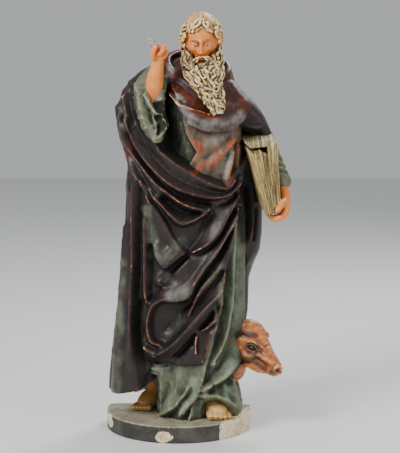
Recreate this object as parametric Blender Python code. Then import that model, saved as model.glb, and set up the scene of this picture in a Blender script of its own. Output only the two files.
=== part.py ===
# Saint with a book and an ox: one modelled and fired piece, standing on a D-shaped base.
# Millimetres inside the functions, turned to metres by mm. X to the figure's left, -Y to its front, +Z up,
# origin at the middle of the base's underside.
import math

import bmesh
import bpy
import numpy as np
from mathutils import Matrix, Vector

statueHeight = 0.800  # base underside to crown
baseWidth = 278.0
baseDepth = 172.0
baseHeight = 32.0
clayGrain = 2.2  # size of the grid the forms are fused on
triangleBudget = 9000  # for the figure; the base adds a few hundred
mm = statueHeight / 800.0

clayColour = (0.085, 0.070, 0.062, 1.0)
clayRoughness = 0.42

sizes = dict(tunic=(200, 180), cloak=(320, 280), fall=(90, 160), cape=(200, 70), habit=(140, 70),
    sleeve=(100, 60),
             book=12, head=4, lock=3.0, beard=(90, 60))

for ob in list(bpy.data.objects):
    bpy.data.objects.remove(ob)

def curveThrough(points, step=1.0):
    """Catmull-Rom through the points, sampled about every step."""
    p = np.array(points, float)
    if len(p) == 2:
        n = max(2, int(np.linalg.norm(p[1] - p[0]) / step))
        return p[0] + (p[1] - p[0]) * np.linspace(0, 1, n)[:, None]
    q = np.vstack([2 * p[0] - p[1], p, 2 * p[-1] - p[-2]])
    out = []
    for i in range(1, len(q) - 2):
        n = max(2, int(np.linalg.norm(q[i + 1] - q[i]) / step))
        t = np.linspace(0, 1, n, endpoint=False)[:, None]
        a, b, c, d = q[i - 1], q[i], q[i + 1], q[i + 2]
        out.append(0.5 * (2 * b + (c - a) * t + (2 * a - 5 * b + 4 * c - d) * t * t + (3 * b - a - 3 * c + d) * t ** 3))
    return np.vstack(out + [q[-2:-1]])


def between(table, z, blur=6.0):
    """Columns of a station table read at z, with the corners eased over blur."""
    t = np.array(table, float)
    z = np.asarray(z, float)
    total = 0
    for shift, weight in ((-1, 1), (-0.5, 2), (0, 3), (0.5, 2), (1, 1)):
        total = total + weight * np.stack([np.interp(z + shift * blur, t[:, 0], t[:, i]) for i in range(1,
            t.shape[1])], -1)
    return total / 9


def ease(x):
    x = np.clip(x, 0, 1)
    return x * x * (3 - 2 * x)


def solveField(high, wide, strokes, rounds=70, blur=1):
    """Heights between strokes, relaxed coarse to fine on a grid that wraps sideways. Rows are 0..1, turns 0..1."""
    f = None
    for step in (16, 8, 4, 2, 1):
        h, w = max(6, high // step), max(12, wide // step)
        total, count = np.zeros((h, w)), np.zeros((h, w))
        for s in strokes:
            r, c = np.clip(s[:, 0], 0, 1) * (h - 1), s[:, 1] * w
            r0, c0 = np.minimum(r.astype(int), h - 2), np.floor(c).astype(int)
            fr, fc = r - r0, c - c0
            for dr, dc, k in ((0, 0, (1 - fr) * (1 - fc)), (1, 0, fr * (1 - fc)), (0, 1, (1 - fr) * fc),
                (1, 1, fr * fc)):
                np.add.at(total, (r0 + dr, (c0 + dc) % w), s[:, 2] * k)
                np.add.at(count, (r0 + dr, (c0 + dc) % w), k)
        value = total / np.maximum(count, 1e-6)
        pull = np.minimum(count, 1.5) * 3.0
        if f is None:
            f = np.full((h, w), total.sum() / count.sum())
        else:
            f = readField(f, np.linspace(0, 1, h)[:, None] * np.ones((1, w)),
                np.ones((h, 1)) * np.arange(w)[None] / w)
        for _ in range(rounds):
            g = (np.vstack([f[:1], f[:-1]]) + np.vstack([f[1:], f[-1:]]) + np.roll(f, 1, 1) + np.roll(f,
                -1, 1)) / 4
            f = (g + pull * value) / (1 + pull)
    for _ in range(blur):
        f = (np.vstack([f[:1], f[:-1]]) + np.vstack([f[1:], f[-1:]]) + np.roll(f, 1, 1) + np.roll(f, -1,
            1) + 2 * f) / 6
    return f


def readField(f, row, turn):
    h, w = f.shape
    r = np.clip(row, 0, 1) * (h - 1)
    c = np.mod(turn, 1.0) * w
    r0 = np.clip(np.floor(r).astype(int), 0, h - 2)
    c0 = np.floor(c).astype(int)
    fr, fc = r - r0, c - c0
    a, b = c0 % w, (c0 + 1) % w
    return (f[r0, a] * (1 - fr) * (1 - fc) + f[r0 + 1, a] * fr * (1 - fc)
            + f[r0, b] * (1 - fr) * fc + f[r0 + 1, b] * fr * fc)


class Column:
    """An upright form: stations of left, right, front, back, widest y, front power, back power; turn 0 is the front."""

    def __init__(self, stations, blur=8.0, cell=1.6, gain=1.0):
        self.stations, self.blur, self.gain = stations, blur, gain
        z = [s[0] for s in stations]
        self.low, self.high = min(z), max(z)
        self.rows = int((self.high - self.low) / cell) + 2
        mid = between(stations, 0.5 * (self.low + self.high), blur)
        self.around = int(math.pi * 1.15 * ((mid[1] - mid[0]) / 2 + (mid[3] - mid[2]) / 2) / cell)
        self.strokes = []
        self.field = None

    def frame(self, z):
        v = between(self.stations, z, self.blur)
        return [v[..., i] for i in range(7)]

    def turnOf(self, x, z, back=False):
        left, right, front, rear, wide, pf, pb = self.frame(z)
        s = np.clip((x - (left + right) / 2) / ((right - left) / 2), -0.9995, 0.9995)
        p = pb if back else pf
        a = np.arcsin(np.sign(s) * np.abs(s) ** (p / 2))
        a = math.pi - a if back else a
        return np.mod(a / (2 * math.pi), 1.0)

    def fold(self, points, height=None, back=False):
        """A crest or a valley through (x, z[, height]) seen from the front."""
        p = np.array([tuple(q[:2]) + ((q[2] if len(q) > 2 else height),) for q in points], float)
        c = curveThrough(p, 1.0)
        c = c[(c[:, 1] >= self.low) & (c[:, 1] <= self.high)]
        turn = self.turnOf(c[:, 0], c[:, 1], back)
        self.strokes.append(np.stack([(c[:, 1] - self.low) / (self.high - self.low), turn, c[:, 2]], -1))

    def ledge(self, points, high, low, gap, back=False):
        """A crest with a valley beside it, gap to the left of the way it is drawn (negative: to the right)."""
        self.fold(points, high, back)
        p = np.array([q[:2] for q in points], float)
        way = np.gradient(p, axis=0)
        way /= np.linalg.norm(way, axis=1)[:, None]
        beside = p + np.stack([-way[:, 1], way[:, 0]], -1) * gap
        self.fold([tuple(q) for q in beside], low, back)

    def pleat(self, points, height=None):
        """The same through (degrees round from the front, z[, height])."""
        p = np.array([tuple(q[:2]) + ((q[2] if len(q) > 2 else height),) for q in points], float)
        c = curveThrough(p * [1, 1, 1], 1.0)
        self.strokes.append(np.stack([(c[:, 1] - self.low) / (self.high - self.low),
            np.mod(c[:, 0] / 360, 1.0), c[:, 2]], -1))

    def solve(self, blur=1):
        self.field = solveField(self.rows, self.around, self.strokes,
            blur=blur) * self.gain if self.strokes else None

    def place(self, turn, z, extra=0.0):
        left, right, front, rear, wide, pf, pb = self.frame(z)
        a = turn * 2 * math.pi
        s, c = np.sin(a), np.cos(a)
        p = np.where(c >= 0, pf, pb)
        b = np.where(c >= 0, wide - front, rear - wide)
        hw = (right - left) / 2
        ux = np.sign(s) * np.abs(s) ** (2 / p)
        uy = -np.sign(c) * np.abs(c) ** (2 / p)
        nx = np.sign(s) * np.abs(ux) ** (p - 1) / hw
        ny = np.sign(uy) * np.abs(uy) ** (p - 1) / b
        n = np.hypot(nx, ny) + 1e-9
        d = extra
        if self.field is not None:
            d = d + readField(self.field, (z - self.low) / (self.high - self.low), turn)
        x = (left + right) / 2 + hw * ux + d * nx / n
        y = wide + b * uy + d * ny / n
        return np.stack([x, y, z * np.ones_like(x)], -1)


def gridMesh(rows, wide, bottom=None, top=None):
    """Bmesh of a closed tube: rows is (n, wide, 3); each end drawn together to a point."""
    n = len(rows)
    bottom = rows[0].mean(0) if bottom is None else np.array(bottom, float)
    top = rows[-1].mean(0) if top is None else np.array(top, float)
    every = np.concatenate([np.broadcast_to(bottom, (1, wide, 3)), rows,
        np.broadcast_to(top, (1, wide, 3))])
    every = np.concatenate([every, every[:, :1]], 1)
    bm = bmesh.new()
    bmesh.ops.create_grid(bm, x_segments=wide, y_segments=n + 1, size=1)
    for v in bm.verts:
        i = int(round((v.co.x + 1) / 2 * wide))
        j = int(round((v.co.y + 1) / 2 * (n + 1)))
        v.co = Vector(every[j, i]) * mm
    bmesh.ops.remove_doubles(bm, verts=bm.verts, dist=1e-6)
    bmesh.ops.recalc_face_normals(bm, faces=bm.faces)
    return bm


def put(bm, name, slot):
    me = bpy.data.meshes.new(name)
    bm.to_mesh(me)
    bm.free()
    ob = bpy.data.objects.new(name, me)
    bpy.context.scene.collection.objects.link(ob)
    ob["slot"] = slot
    return ob


def columnBody(name, slot, column, low, high, size, extra=None, rim=0.0, foot=0.0, top=None, bottom=None):
    """Closed body from a column between low(turn) and high(turn)."""
    wide, tall = size
    turn = np.arange(wide) / wide
    lo = low(turn) if callable(low) else np.full(wide, float(low))
    hi = high(turn) if callable(high) else np.full(wide, float(high))
    z = np.clip(np.linspace(lo.min(), hi.max(), tall)[:, None], lo[None], hi[None])
    tt = np.broadcast_to(turn[None], z.shape)
    d = np.zeros_like(z)
    if rim:
        e = np.clip((rim - (hi[None] - z)) / rim, 0, 1)
        d = d - rim * (1 - np.sqrt(1 - e * e * 0.98))
    if foot:
        e = np.clip((foot - (z - lo[None])) / foot, 0, 1)
        d = d - foot * (1 - np.sqrt(1 - e * e * 0.98))
    if extra is not None:
        d = d + extra(tt, z)
    rows = column.place(tt, z, d)
    return put(gridMesh(rows, wide, bottom, top), name, slot)


def tube(name, slot, path, radii, around=24, step=4.0, squash=1.0, up=(0, 0, 1), wave=None):
    """Closed tapered tube through points; radii is a list as long as the path."""
    pts = np.array([list(p) + [r] for p, r in zip(path, radii)], float)
    c = curveThrough(pts, step)
    p, r = c[:, :3], np.maximum(c[:, 3], 0.05)
    tangent = np.gradient(p, axis=0)
    tangent /= np.linalg.norm(tangent, axis=1)[:, None] + 1e-9
    upv = np.array(up, float)
    side = np.cross(tangent, upv)
    side /= np.linalg.norm(side, axis=1)[:, None] + 1e-9
    other = np.cross(side, tangent)
    a = np.arange(around) / around * 2 * math.pi
    rr = r[:, None] * np.ones((1, around))
    if wave is not None:
        rr = rr * wave(a[None], np.linspace(0, 1, len(r))[:, None])
    rows = p[:, None] + rr[..., None] * (np.cos(a)[None, :, None] * side[:,
        None] * squash + np.sin(a)[None, :, None] * other[:, None])
    return put(gridMesh(rows, around, p[0] - tangent[0] * r[0] * 0.5, p[-1] + tangent[-1] * r[-1] * 0.5),
        name, slot)


def strand(name, slot, path, radii, around=20, step=2.0, flat=0.72, grooves=0.30, face=(0, -1, 0),
    ridges=3.5):
    """A lock of hair: a tapered tube whose frame is carried along without twisting."""
    c = curveThrough([list(p) + [r] for p, r in zip(path, radii)], step)
    p, r = c[:, :3], np.maximum(c[:, 3], 0.2)
    way = np.gradient(p, axis=0)
    way /= np.linalg.norm(way, axis=1)[:, None] + 1e-9
    n = np.array(face, float)
    rows = []
    a = np.arange(around) / around * 2 * math.pi
    for i in range(len(p)):
        n = n - way[i] * n.dot(way[i])
        n /= np.linalg.norm(n) + 1e-9
        b = np.cross(way[i], n)
        bump = 1 - grooves * (1 - np.abs(np.cos(ridges * (a + 0.035 * i))) ** 0.8)
        rows.append(p[i] + r[i] * bump[:, None] * (np.cos(a)[:, None] * n * flat + np.sin(a)[:, None] * b))
    rows = np.array(rows)
    return put(gridMesh(rows, around, p[0] - way[0] * r[0] * 0.4, p[-1] + way[-1] * r[-1] * 0.6), name,
        slot)


def lockPath(length, sway, waves, phase, hook, hand, steps=12):
    """(sideways, down, share of the length) for a waving lock that ends in a small hook."""
    out = []
    for i in range(steps + 1):
        t = i / steps
        out.append((sway * (0.35 + 0.65 * t) * math.sin(2 * math.pi * waves * t + phase) - sway * 0.35 * math.sin(phase), length * t, t * 0.75))
    if hook:
        (u0, w0, _), (u1, w1, _) = out[-2], out[-1]
        a0 = math.atan2(w1 - w0, u1 - u0)
        u, w = u1, w1
        for i in range(1, 8):
            t = i / 7
            a = a0 + hand * t * 4.6
            stepLength = hook * (1 - 0.55 * t)
            u, w = u + stepLength * math.cos(a), w + stepLength * math.sin(a)
            out.append((u, w, 0.75 + 0.25 * t))
    return out


def ball(name, slot, centre, radii, turnBy=(0, 0, 0), sub=4, push=None):
    bm = bmesh.new()
    bmesh.ops.create_icosphere(bm, subdivisions=sub, radius=1.0)
    spin = Matrix.Rotation(math.radians(turnBy[2]), 3, "Z") @ Matrix.Rotation(math.radians(turnBy[1]), 3,
        "Y") @ Matrix.Rotation(math.radians(turnBy[0]), 3, "X")
    for v in bm.verts:
        k = 1.0 + (push(v.co.copy()) if push else 0.0)
        v.co = (Vector(centre) + spin @ Vector((v.co.x * radii[0] * k, v.co.y * radii[1] * k,
            v.co.z * radii[2] * k))) * mm
    return put(bm, name, slot)


def press(ob, marks):
    """Pushes the surface out or in round chosen places: (place or line of places, reach, height)."""
    me = ob.data
    n = len(me.vertices)
    p, normal = np.empty(n * 3), np.empty(n * 3)
    me.vertices.foreach_get("co", p)
    me.vertices.foreach_get("normal", normal)
    p, normal = p.reshape(-1, 3) / mm, normal.reshape(-1, 3)
    move = np.zeros(n)
    for place, reach, height in marks:
        line = np.array(place, float).reshape(-1, 3)
        if len(line) > 1:
            line = curveThrough([list(q) for q in line], 1.5)
        far = np.full(n, 1e9)
        for q in line:
            far = np.minimum(far, ((p - q) ** 2).sum(1))
        move += height * np.exp(-far / reach ** 2)
    me.vertices.foreach_set("co", ((p + normal * move[:, None]) * mm).ravel())
    me.update()
    return ob


def wrinkles(u, v, seed):
    """Small creases crossing each other, 0 to about 1; u and v count creases."""
    out = 0
    for k in range(4):
        a = 2.1 * seed + 0.55 * (k - 1.5)
        p, q = u * math.cos(a) + v * math.sin(a), v * math.cos(a) - u * math.sin(a)
        ridge = 1 - np.abs(np.sin(math.pi * (p + 0.45 * np.sin(2.1 * q + k) + 0.3 * np.sin(1.3 * p + 3.7 * q + seed))))
        out = out + ridge ** 4 * (0.5 + 0.5 * np.sin(1.7 * q + 0.9 * p + 2 * k + seed)) / (1 + 0.5 * k)
    return out * 0.6

made = []


def curveX(table):
    """x as a function of z from an edge read top to bottom."""
    t = np.array(sorted([(z, x) for x, z in table]), float)
    return lambda z: np.interp(z, t[:, 0], t[:, 1])


def base():
    """Half-round slab with short straight ends and a flat back."""
    w, d = baseWidth / 2, baseDepth / 2
    outline = []
    for k in range(33):
        a = math.pi * k / 32
        outline.append((w * math.cos(a), d - 40 - (baseDepth - 40) * math.sin(a)))
    outline += [(-w, d - 10), (-w + 8, d), (w - 8, d), (w, d - 10)]
    bm = bmesh.new()
    bottom = bm.faces.new([bm.verts.new(Vector((x, y, 0)) * mm) for x, y in outline])
    grown = bmesh.ops.extrude_face_region(bm, geom=[bottom])
    top = [v for v in grown["geom"] if isinstance(v, bmesh.types.BMVert)]
    bmesh.ops.translate(bm, verts=top, vec=(0, 0, baseHeight * mm))
    rim = [e for e in bm.edges if all(v in top for v in e.verts)]
    bmesh.ops.recalc_face_normals(bm, faces=bm.faces)
    bmesh.ops.bevel(bm, geom=rim, offset=1.5 * mm, segments=1, profile=0.5, affect="EDGES",
        clamp_overlap=True)
    return put(bm, "base", "base")


def tunic():
    c = Column([
        (24, -42, 119, -52, 72, 14, 2.1, 2.8), (45, -40, 119, -52, 72, 12, 2.2, 2.8), (75, -38, 116, -50,
            72, 8, 2.4, 2.8),
        (100, -42, 110, -48, 70, 8, 2.4, 2.6), (125, -56, 110, -47, 70, 8, 2.3, 2.6), (150, -58, 110, -42,
            70, 8, 2.3, 2.6), (180, -62, 113, -38, 70, 8, 2.3, 2.6),
        (240, -70, 115, -36, 68, 8, 2.6, 2.6), (320, -72, 115, -36, 66, 6, 2.6, 2.5), (400, -70, 115, -36,
            62, 6, 2.5, 2.5),
        (490, -60, 110, -34, 55, 4, 2.3, 2.5), (560, -20, 105, -38, 50, 4, 2.3, 2.4), (640, -20, 100, -34,
            45, 4, 2.3, 2.4)], gain=1.4)
    # right strip
    c.fold([(117, 480), (119, 370), (118, 300), (119, 205), (113, 150), (88, 118), (40, 90)], 9)
    c.fold([(106, 440), (101, 330), (98, 250), (88, 190), (66, 140)], 7)
    c.fold([(111, 460), (110, 330), (109, 250), (104, 190), (84, 140), (55, 108)], -6)
    c.fold([(91, 400), (84, 300), (80, 220), (58, 150), (52, 120)], -7)
    c.fold([(72, 262), (70, 210), (54, 160), (44, 118)], 4)
    c.fold([(100, 232), (96, 196), (84, 164), (70, 146)], -4)
    c.fold([(112, 158), (104, 140), (84, 120), (62, 104), (48, 96)], 11)
    c.fold([(116, 132), (100, 112), (78, 98), (60, 88)], -6)
    # folds falling to the ground between the feet
    c.fold([(49, 160), (46, 102), (28, 72), (10, 46)], 6)
    c.fold([(66, 185), (52, 130), (40, 92), (24, 52)], 5)
    c.fold([(58, 140), (44, 95), (30, 65), (14, 34)], -5)
    c.ledge([(18, 100), (12, 88), (2, 74), (-12, 54), (-30, 38)], 10, -3, 8)
    c.fold([(24, 132), (20, 108), (8, 84), (-8, 60)], -2)
    c.fold([(5, 150), (2, 110), (-8, 84), (-26, 58)], 2)
    c.fold([(-14, 140), (-18, 110), (-26, 82), (-36, 56)], -4)
    c.fold([(-30, 128), (-32, 108), (-34, 80), (-36, 52)], 3)
    c.ledge([(40, 84), (30, 74), (14, 62), (4, 44)], 7, -4, 7)
    c.fold([(26, 60), (22, 46), (18, 30)], 6)
    c.fold([(34, 54), (32, 42), (30, 28)], -3)
    # hem drawn back over the foot on the right
    c.fold([(42, 78), (56, 82), (74, 80), (94, 68), (112, 52)], 6)
    c.fold([(48, 56), (50, 44), (50, 24)], -12)
    c.fold([(62, 60), (64, 44), (64, 24)], -24)
    c.fold([(78, 60), (80, 44), (80, 24)], -26)
    c.fold([(94, 50), (96, 40), (96, 24)], -18)
    c.fold([(100, 112), (104, 90), (110, 66), (114, 44)], 7)
    c.fold([(88, 100), (94, 84), (104, 66)], 1)
    c.fold([(112, 118), (115, 95), (117, 60), (118, 40)], -3)
    c.fold([(62, 108), (72, 92), (84, 84)], -3)
    for k, (deg, h) in enumerate([(95, 4), (112, -5), (130, 5), (150, -5), (172, 5), (195, -5), (218, 5),
        (240, -5), (262, 4), (285, -3)]):
        c.pleat([(deg, 26), (deg + 3, 160), (deg, 320), (deg, 480)], h)
    c.solve(blur=2)

    def crumple(turn, z):
        # fine creases, strongest near the ground
        share = 0.35 + 0.65 * ease((190 - z) / 90)
        return share * (5.0 * wrinkles(turn * 30 + z / 90, z / 60, 1) + 2.6 * wrinkles(turn * 52, z / 26,
            4) - 2.0)

    made.append(columnBody("tunic", "tunic", c, 24, 640, sizes["tunic"], crumple))
    for j, (path, radii) in enumerate((([(-53, -20, 130), (-46, -26, 129), (-36, -31, 129),
        (-20, -33, 132), (-10, -32, 138)], [2, 5, 6, 5, 2]),
                                       ([(-52, -18, 123), (-46, -23, 121), (-38, -27, 121),
                                           (-24, -29, 125), (-14, -28, 131)], [2, 4, 4.5, 3.5, 1.5]),
                                       ([(-48, -26, 138), (-38, -31, 136), (-24, -33, 140)], [2, 4, 2]))):
        made.append(strand("bunch%d" % j, "tunic", path, radii, around=20, step=2.5, flat=0.9,
            grooves=0.12, ridges=1.5))


def cloak():
    c = Column([
        (40, -134, 108, -40, 74, 22, 2.2, 3.2),
        (77, -133, 108, -44, 74, 22, 2.2, 3.0), (111, -131, 112, -48, 74, 20, 2.2, 3.0), (146, -127, 116,
            -54, 74, 16, 2.2, 3.0),
        (213, -119, 122, -60, 74, 12, 2.2, 2.9), (278, -111, 124, -66, 74, 10, 2.2, 2.8), (346, -105, 124,
            -66, 73, 10, 2.2, 2.7),
        (417, -99, 124, -64, 72, 10, 2.2, 2.7), (450, -98, 124, -68, 71, 10, 2.2, 2.6), (477, -97, 124,
            -68, 70, 10, 2.2, 2.6),
        (515, -91, 122, -62, 70, 8, 2.2, 2.6), (536, -96, 118, -58, 68, 8, 2.2, 2.6),
        (564, -105, 112, -56, 67, 8, 2.5, 2.6), (593, -111, 108, -54, 66, 6, 2.8, 2.6), (624, -116, 104,
            -50, 64, 6, 2.8, 2.6),
        (646, -104, 98, -42, 60, 8, 2.6, 2.5), (670, -86, 80, -24, 54, 12, 2.2, 2.3), (690, -66, 60, -4,
            46, 16, 2.0, 2.1), (704, -46, 40, 4, 40, 20, 2.0, 2.0)], blur=8, gain=1.25)
    f = c.fold
    # the roll across the chest
    f([(-80, 655), (-74, 620), (-67, 603), (-56, 588), (-41, 561), (-31, 544), (-15, 531), (11, 513),
        (36, 498), (71, 480), (90, 476), (102, 490)], 8)
    f([(-76, 600), (-63, 568), (-46, 538), (-20, 510), (5, 494), (36, 481), (68, 470), (94, 472),
        (110, 494)], 0)
    f([(-91, 605), (-85, 583), (-76, 559), (-58, 531), (-33, 503), (-6, 481), (28, 468), (59, 461),
        (86, 463), (105, 480), (118, 504), (123, 530)], 12)
    f([(-88, 575), (-74, 540), (-56, 515), (-34, 491), (-8, 470), (20, 458), (48, 452), (74, 451),
        (98, 458), (114, 474), (124, 500)], -10)
    f([(-104, 610), (-97, 583), (-90, 553), (-68, 524), (-40, 490), (-16, 470), (4, 454), (24, 444),
        (44, 438)], 10)
    # pocket fold under it
    f([(-92, 545), (-78, 512), (-60, 486), (-44, 466)], -4)
    f([(-30, 458), (-16, 448), (4, 436), (22, 430), (40, 432)], -12)
    c.ledge([(-66, 492), (-46, 464), (-31, 450), (-12, 428), (5, 413), (21, 415), (42, 427), (58, 440)],
        10, -3, -9)
    f([(10, 398), (22, 392), (36, 404)], -4)
    f([(8, 385), (14, 372), (18, 366)], -6)
    # edge of the flap
    c.ledge([(-91, 527), (-67, 480), (-50, 452), (-28, 418), (-12, 388), (4, 366), (13, 358)], 6, -5, 8)
    f([(-70, 440), (-50, 405), (-36, 390), (-20, 372)], 1)
    f([(-52, 410), (-48, 370), (-44, 345)], -1)
    f([(-60, 440), (-60, 360), (-60, 290), (-57, 262)], 7)
    f([(-50, 345), (-48, 315), (-52, 285)], -10)
    c.ledge([(-41, 372), (-37, 350), (-31, 336), (-24, 330), (-12, 338), (2, 350), (12, 357)], 8, -12, -9)
    # planes falling from the right hip to the left knee, each lapping the next
    f([(64, 436), (54, 412), (44, 392), (28, 368), (14, 350)], -9)
    c.ledge([(110, 470), (100, 448), (88, 425), (75, 398), (64, 384), (50, 372), (26, 360)], 11, -4, 9)
    f([(20, 345), (8, 335), (-6, 318)], 1)
    c.ledge([(108, 436), (94, 404), (82, 382), (69, 359), (57, 342), (45, 325), (30, 301), (19, 279),
        (4, 270), (-30, 270)], 13, -9, 10)
    f([(60, 362), (42, 338), (24, 312), (2, 296), (-20, 292), (-36, 296)], 3)
    f([(14, 345), (-4, 326), (-22, 306), (-42, 284), (-54, 268)], -9)
    f([(108, 402), (96, 372), (84, 345), (68, 318), (50, 300), (36, 280), (26, 256), (20, 238)], 6)
    f([(86, 322), (70, 296), (52, 274), (36, 256)], -5)
    # the long slanting roll
    f([(96, 340), (86, 300), (70, 276), (51, 257), (34, 237), (18, 217), (-2, 194), (-20, 176),
        (-44, 161)], 14)
    f([(44, 262), (24, 240), (6, 216), (-12, 196), (-26, 184)], -2)
    f([(26, 262), (6, 246), (-10, 226), (-22, 210)], -12)
    f([(84, 272), (66, 250), (46, 226), (28, 206), (12, 186), (-4, 168), (-24, 155), (-44, 152)], 3)
    f([(66, 244), (48, 218), (30, 196), (14, 176), (-4, 158)], -10)
    # upright fold at its left end and the small cuff
    c.ledge([(-20, 268), (-37, 264), (-49, 252), (-56, 220), (-50, 190), (-34, 182)], 9, -6, 9)
    f([(-62, 250), (-66, 220), (-64, 190)], -8)
    f([(-64, 176), (-52, 168), (-38, 164)], 8)
    f([(-66, 186), (-52, 179), (-40, 176)], -3)
    f([(-60, 160), (-52, 154), (-44, 152)], 0)
    # second layer with its lining edge
    c.ledge([(66, 262), (69, 242), (67, 226), (52, 214), (38, 206), (33, 192), (33, 165)], 5, -3, 7)
    f([(52, 196), (50, 170), (48, 146)], -1)
    f([(24, 176), (18, 160), (12, 146)], 4)
    f([(6, 160), (0, 150)], -3)
    f([(110, 430), (101, 390), (95, 359), (88, 330), (82, 300), (82, 270), (70, 214), (46, 146)], 5)
    # hanging panel on the left, with the deep gap beside it
    f([(-96, 400), (-99, 359), (-103, 305), (-107, 259), (-112, 200), (-116, 150), (-118, 84)], 7)
    f([(-88, 500), (-88, 440), (-89, 400), (-90, 350), (-94, 290), (-97, 220), (-101, 150), (-104, 84)], 1)
    f([(-82, 500), (-84, 440), (-84, 380), (-84, 330), (-87, 280), (-90, 220), (-88, 160), (-78, 110),
        (-74, 86)], 5)
    f([(-72, 480), (-75, 440), (-76, 400), (-76, 350), (-76, 300), (-80, 278), (-72, 262), (-62, 258)], -13)
    f([(-76, 262, -18), (-80, 215, -20), (-76, 180, -20), (-66, 150, -18), (-60, 120, -13), (-58, 84, -10)])
    # over the raised arm
    f([(-101, 655), (-99, 642), (-94, 618), (-88, 597), (-80, 578)], 5)
    f([(-92, 650), (-86, 622), (-80, 600)], -4)
    f([(-108, 640), (-103, 612), (-100, 595)], -4)
    f([(-113, 626), (-111, 600), (-106, 570), (-99, 540), (-94, 515)], 3)
    # back and sides
    for deg, h, lean in ((262, 3, 3), (253, -6, 4), (243, 7, 5), (232, -8, 5), (221, 7, 6), (209, -9, 5),
        (197, 8, 3), (185, -8, 1), (172, 7, -2), (160, -8, -4), (149, 8, -6), (138, -7, -8), (127, 6, -9),
        (117, -5, -10)):
        c.pleat([(deg, 42, h * 1.1), (deg + lean * 0.5, 200, h), (deg + lean, 350, h * 0.8),
            (deg + lean * 1.4, 480, h * 0.5), (deg + lean * 1.2, 600, h * 0.3)], h)
    c.pleat([(277, 80), (274, 200), (272, 340), (272, 450)], -3)
    c.pleat([(268, 80), (267, 200), (266, 340), (266, 450)], 2)
    c.pleat([(300, 440), (292, 480), (284, 520), (276, 560), (268, 590)], 4)
    c.solve(blur=1)
    edge = curveX([(126, 540), (124, 500), (117, 453), (108, 400), (100, 359), (90, 325), (84, 290),
        (84, 262), (71, 209), (47, 141), (40, 120)])

    def top(turn):
        x = np.array([-98, -90, -80, -74, -67, -51, -41, -31, -15, 11, 36, 71, 89, 105, 118], float)
        z = np.array([664, 668, 664, 624, 606, 584, 564, 547, 534, 516, 501, 483, 476, 500, 540], float)
        t = c.turnOf(x, z)
        t = np.where(t > 0.5, t - 1, t)
        tt = np.where(turn > 0.5, turn - 1, turn)
        z0 = np.interp(tt, np.concatenate([[-0.5, -0.33, -0.26], t, [0.25, 0.33, 0.5]]),
            np.concatenate([[700, 700, 690], z, [560, 690, 700]]))
        return z0

    def low(turn):
        x = np.array([-110, -90, -76, -68, -56, -50, -40, -9, 5, 43, 60], float)
        z = np.array([78, 84, 89, 98, 140, 147, 150, 146, 141, 141, 141], float)
        t = c.turnOf(x, z)
        t = np.where(t > 0.5, t - 1, t)
        tt = np.where(turn > 0.5, turn - 1, turn)
        return np.interp(tt, np.concatenate([[-0.5, -0.4, -0.3, -0.25], t, [0.2, 0.3, 0.4, 0.5]]),
            np.concatenate([[60, 60, 70, 77], z, [120, 60, 56, 60]]))

    def drop(turn, z):
        p = c.place(turn, z)
        front = (turn < 0.285) | (turn > 0.95)
        d = p[..., 0] - edge(z)
        far = np.clip((0.285 - turn) / 0.012, 0, 1)
        return np.where(front & (z < 505), -26 * ease(d / 9) * np.where(turn < 0.5, ease(far), 1), 0.0)

    def surface(turn, z):
        return drop(turn, z) + 2.2 * wrinkles(turn * 20 - z / 70, z / 64, 3) + 0.9 * wrinkles(turn * 44,
            z / 30, 5) - 0.9

    made.append(columnBody("cloak", "cloak", c, low, top, sizes["cloak"], surface, rim=3, foot=2,
        top=(10, 20, 560), bottom=(0, 20, 130)))


def fall():
    c = Column([(34, 60, 108, 20, 78, 50, 2.2, 2.6), (110, 60, 110, 20, 78, 50, 2.2, 2.6),
        (170, 66, 122, 12, 78, 46, 2.2, 2.6), (230, 70, 131, 8, 76, 44, 2.2, 2.6),
        (292, 70, 132, 8, 76, 44, 2.2, 2.6), (322, 70, 141, 6, 76, 44, 2.2, 2.6),
                (346, 70, 152, 4, 74, 44, 2.2, 2.6), (380, 70, 156, 2, 72, 42, 2.2, 2.6), (460, 70, 156, 0,
                    70, 40, 2.2, 2.6),
                (520, 66, 158, 2, 68, 36, 2.2, 2.4), (560, 60, 152, 4, 62, 32, 2.1, 2.2), (600, 56, 138, 6,
                    56, 30, 2.0, 2.0), (640, 50, 112, 8, 48, 28, 2.0, 2.0)])
    f = c.fold
    f([(150, 560), (150, 460), (146, 380), (138, 345), (128, 320)], 4)
    f([(124, 470), (126, 440), (128, 405), (124, 372)], -9)
    f([(137, 480), (138, 440), (139, 405), (136, 372)], 6)
    f([(147, 430), (146, 400), (143, 370)], -8)
    f([(124, 340), (126, 300), (127, 240)], -5)
    f([(112, 470), (112, 400), (113, 300), (113, 200)], -6)
    f([(120, 420), (119, 340), (120, 260)], 2)
    for deg, h in ((92, 3), (112, -5), (132, 6), (152, -6), (172, 6), (192, -5)):
        c.pleat([(deg, 34), (deg, 200), (deg, 400), (deg, 570)], h)
    c.solve(blur=2)
    made.append(columnBody("fall", "cloak", c, 34, 640, sizes["fall"], rim=4))


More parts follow.
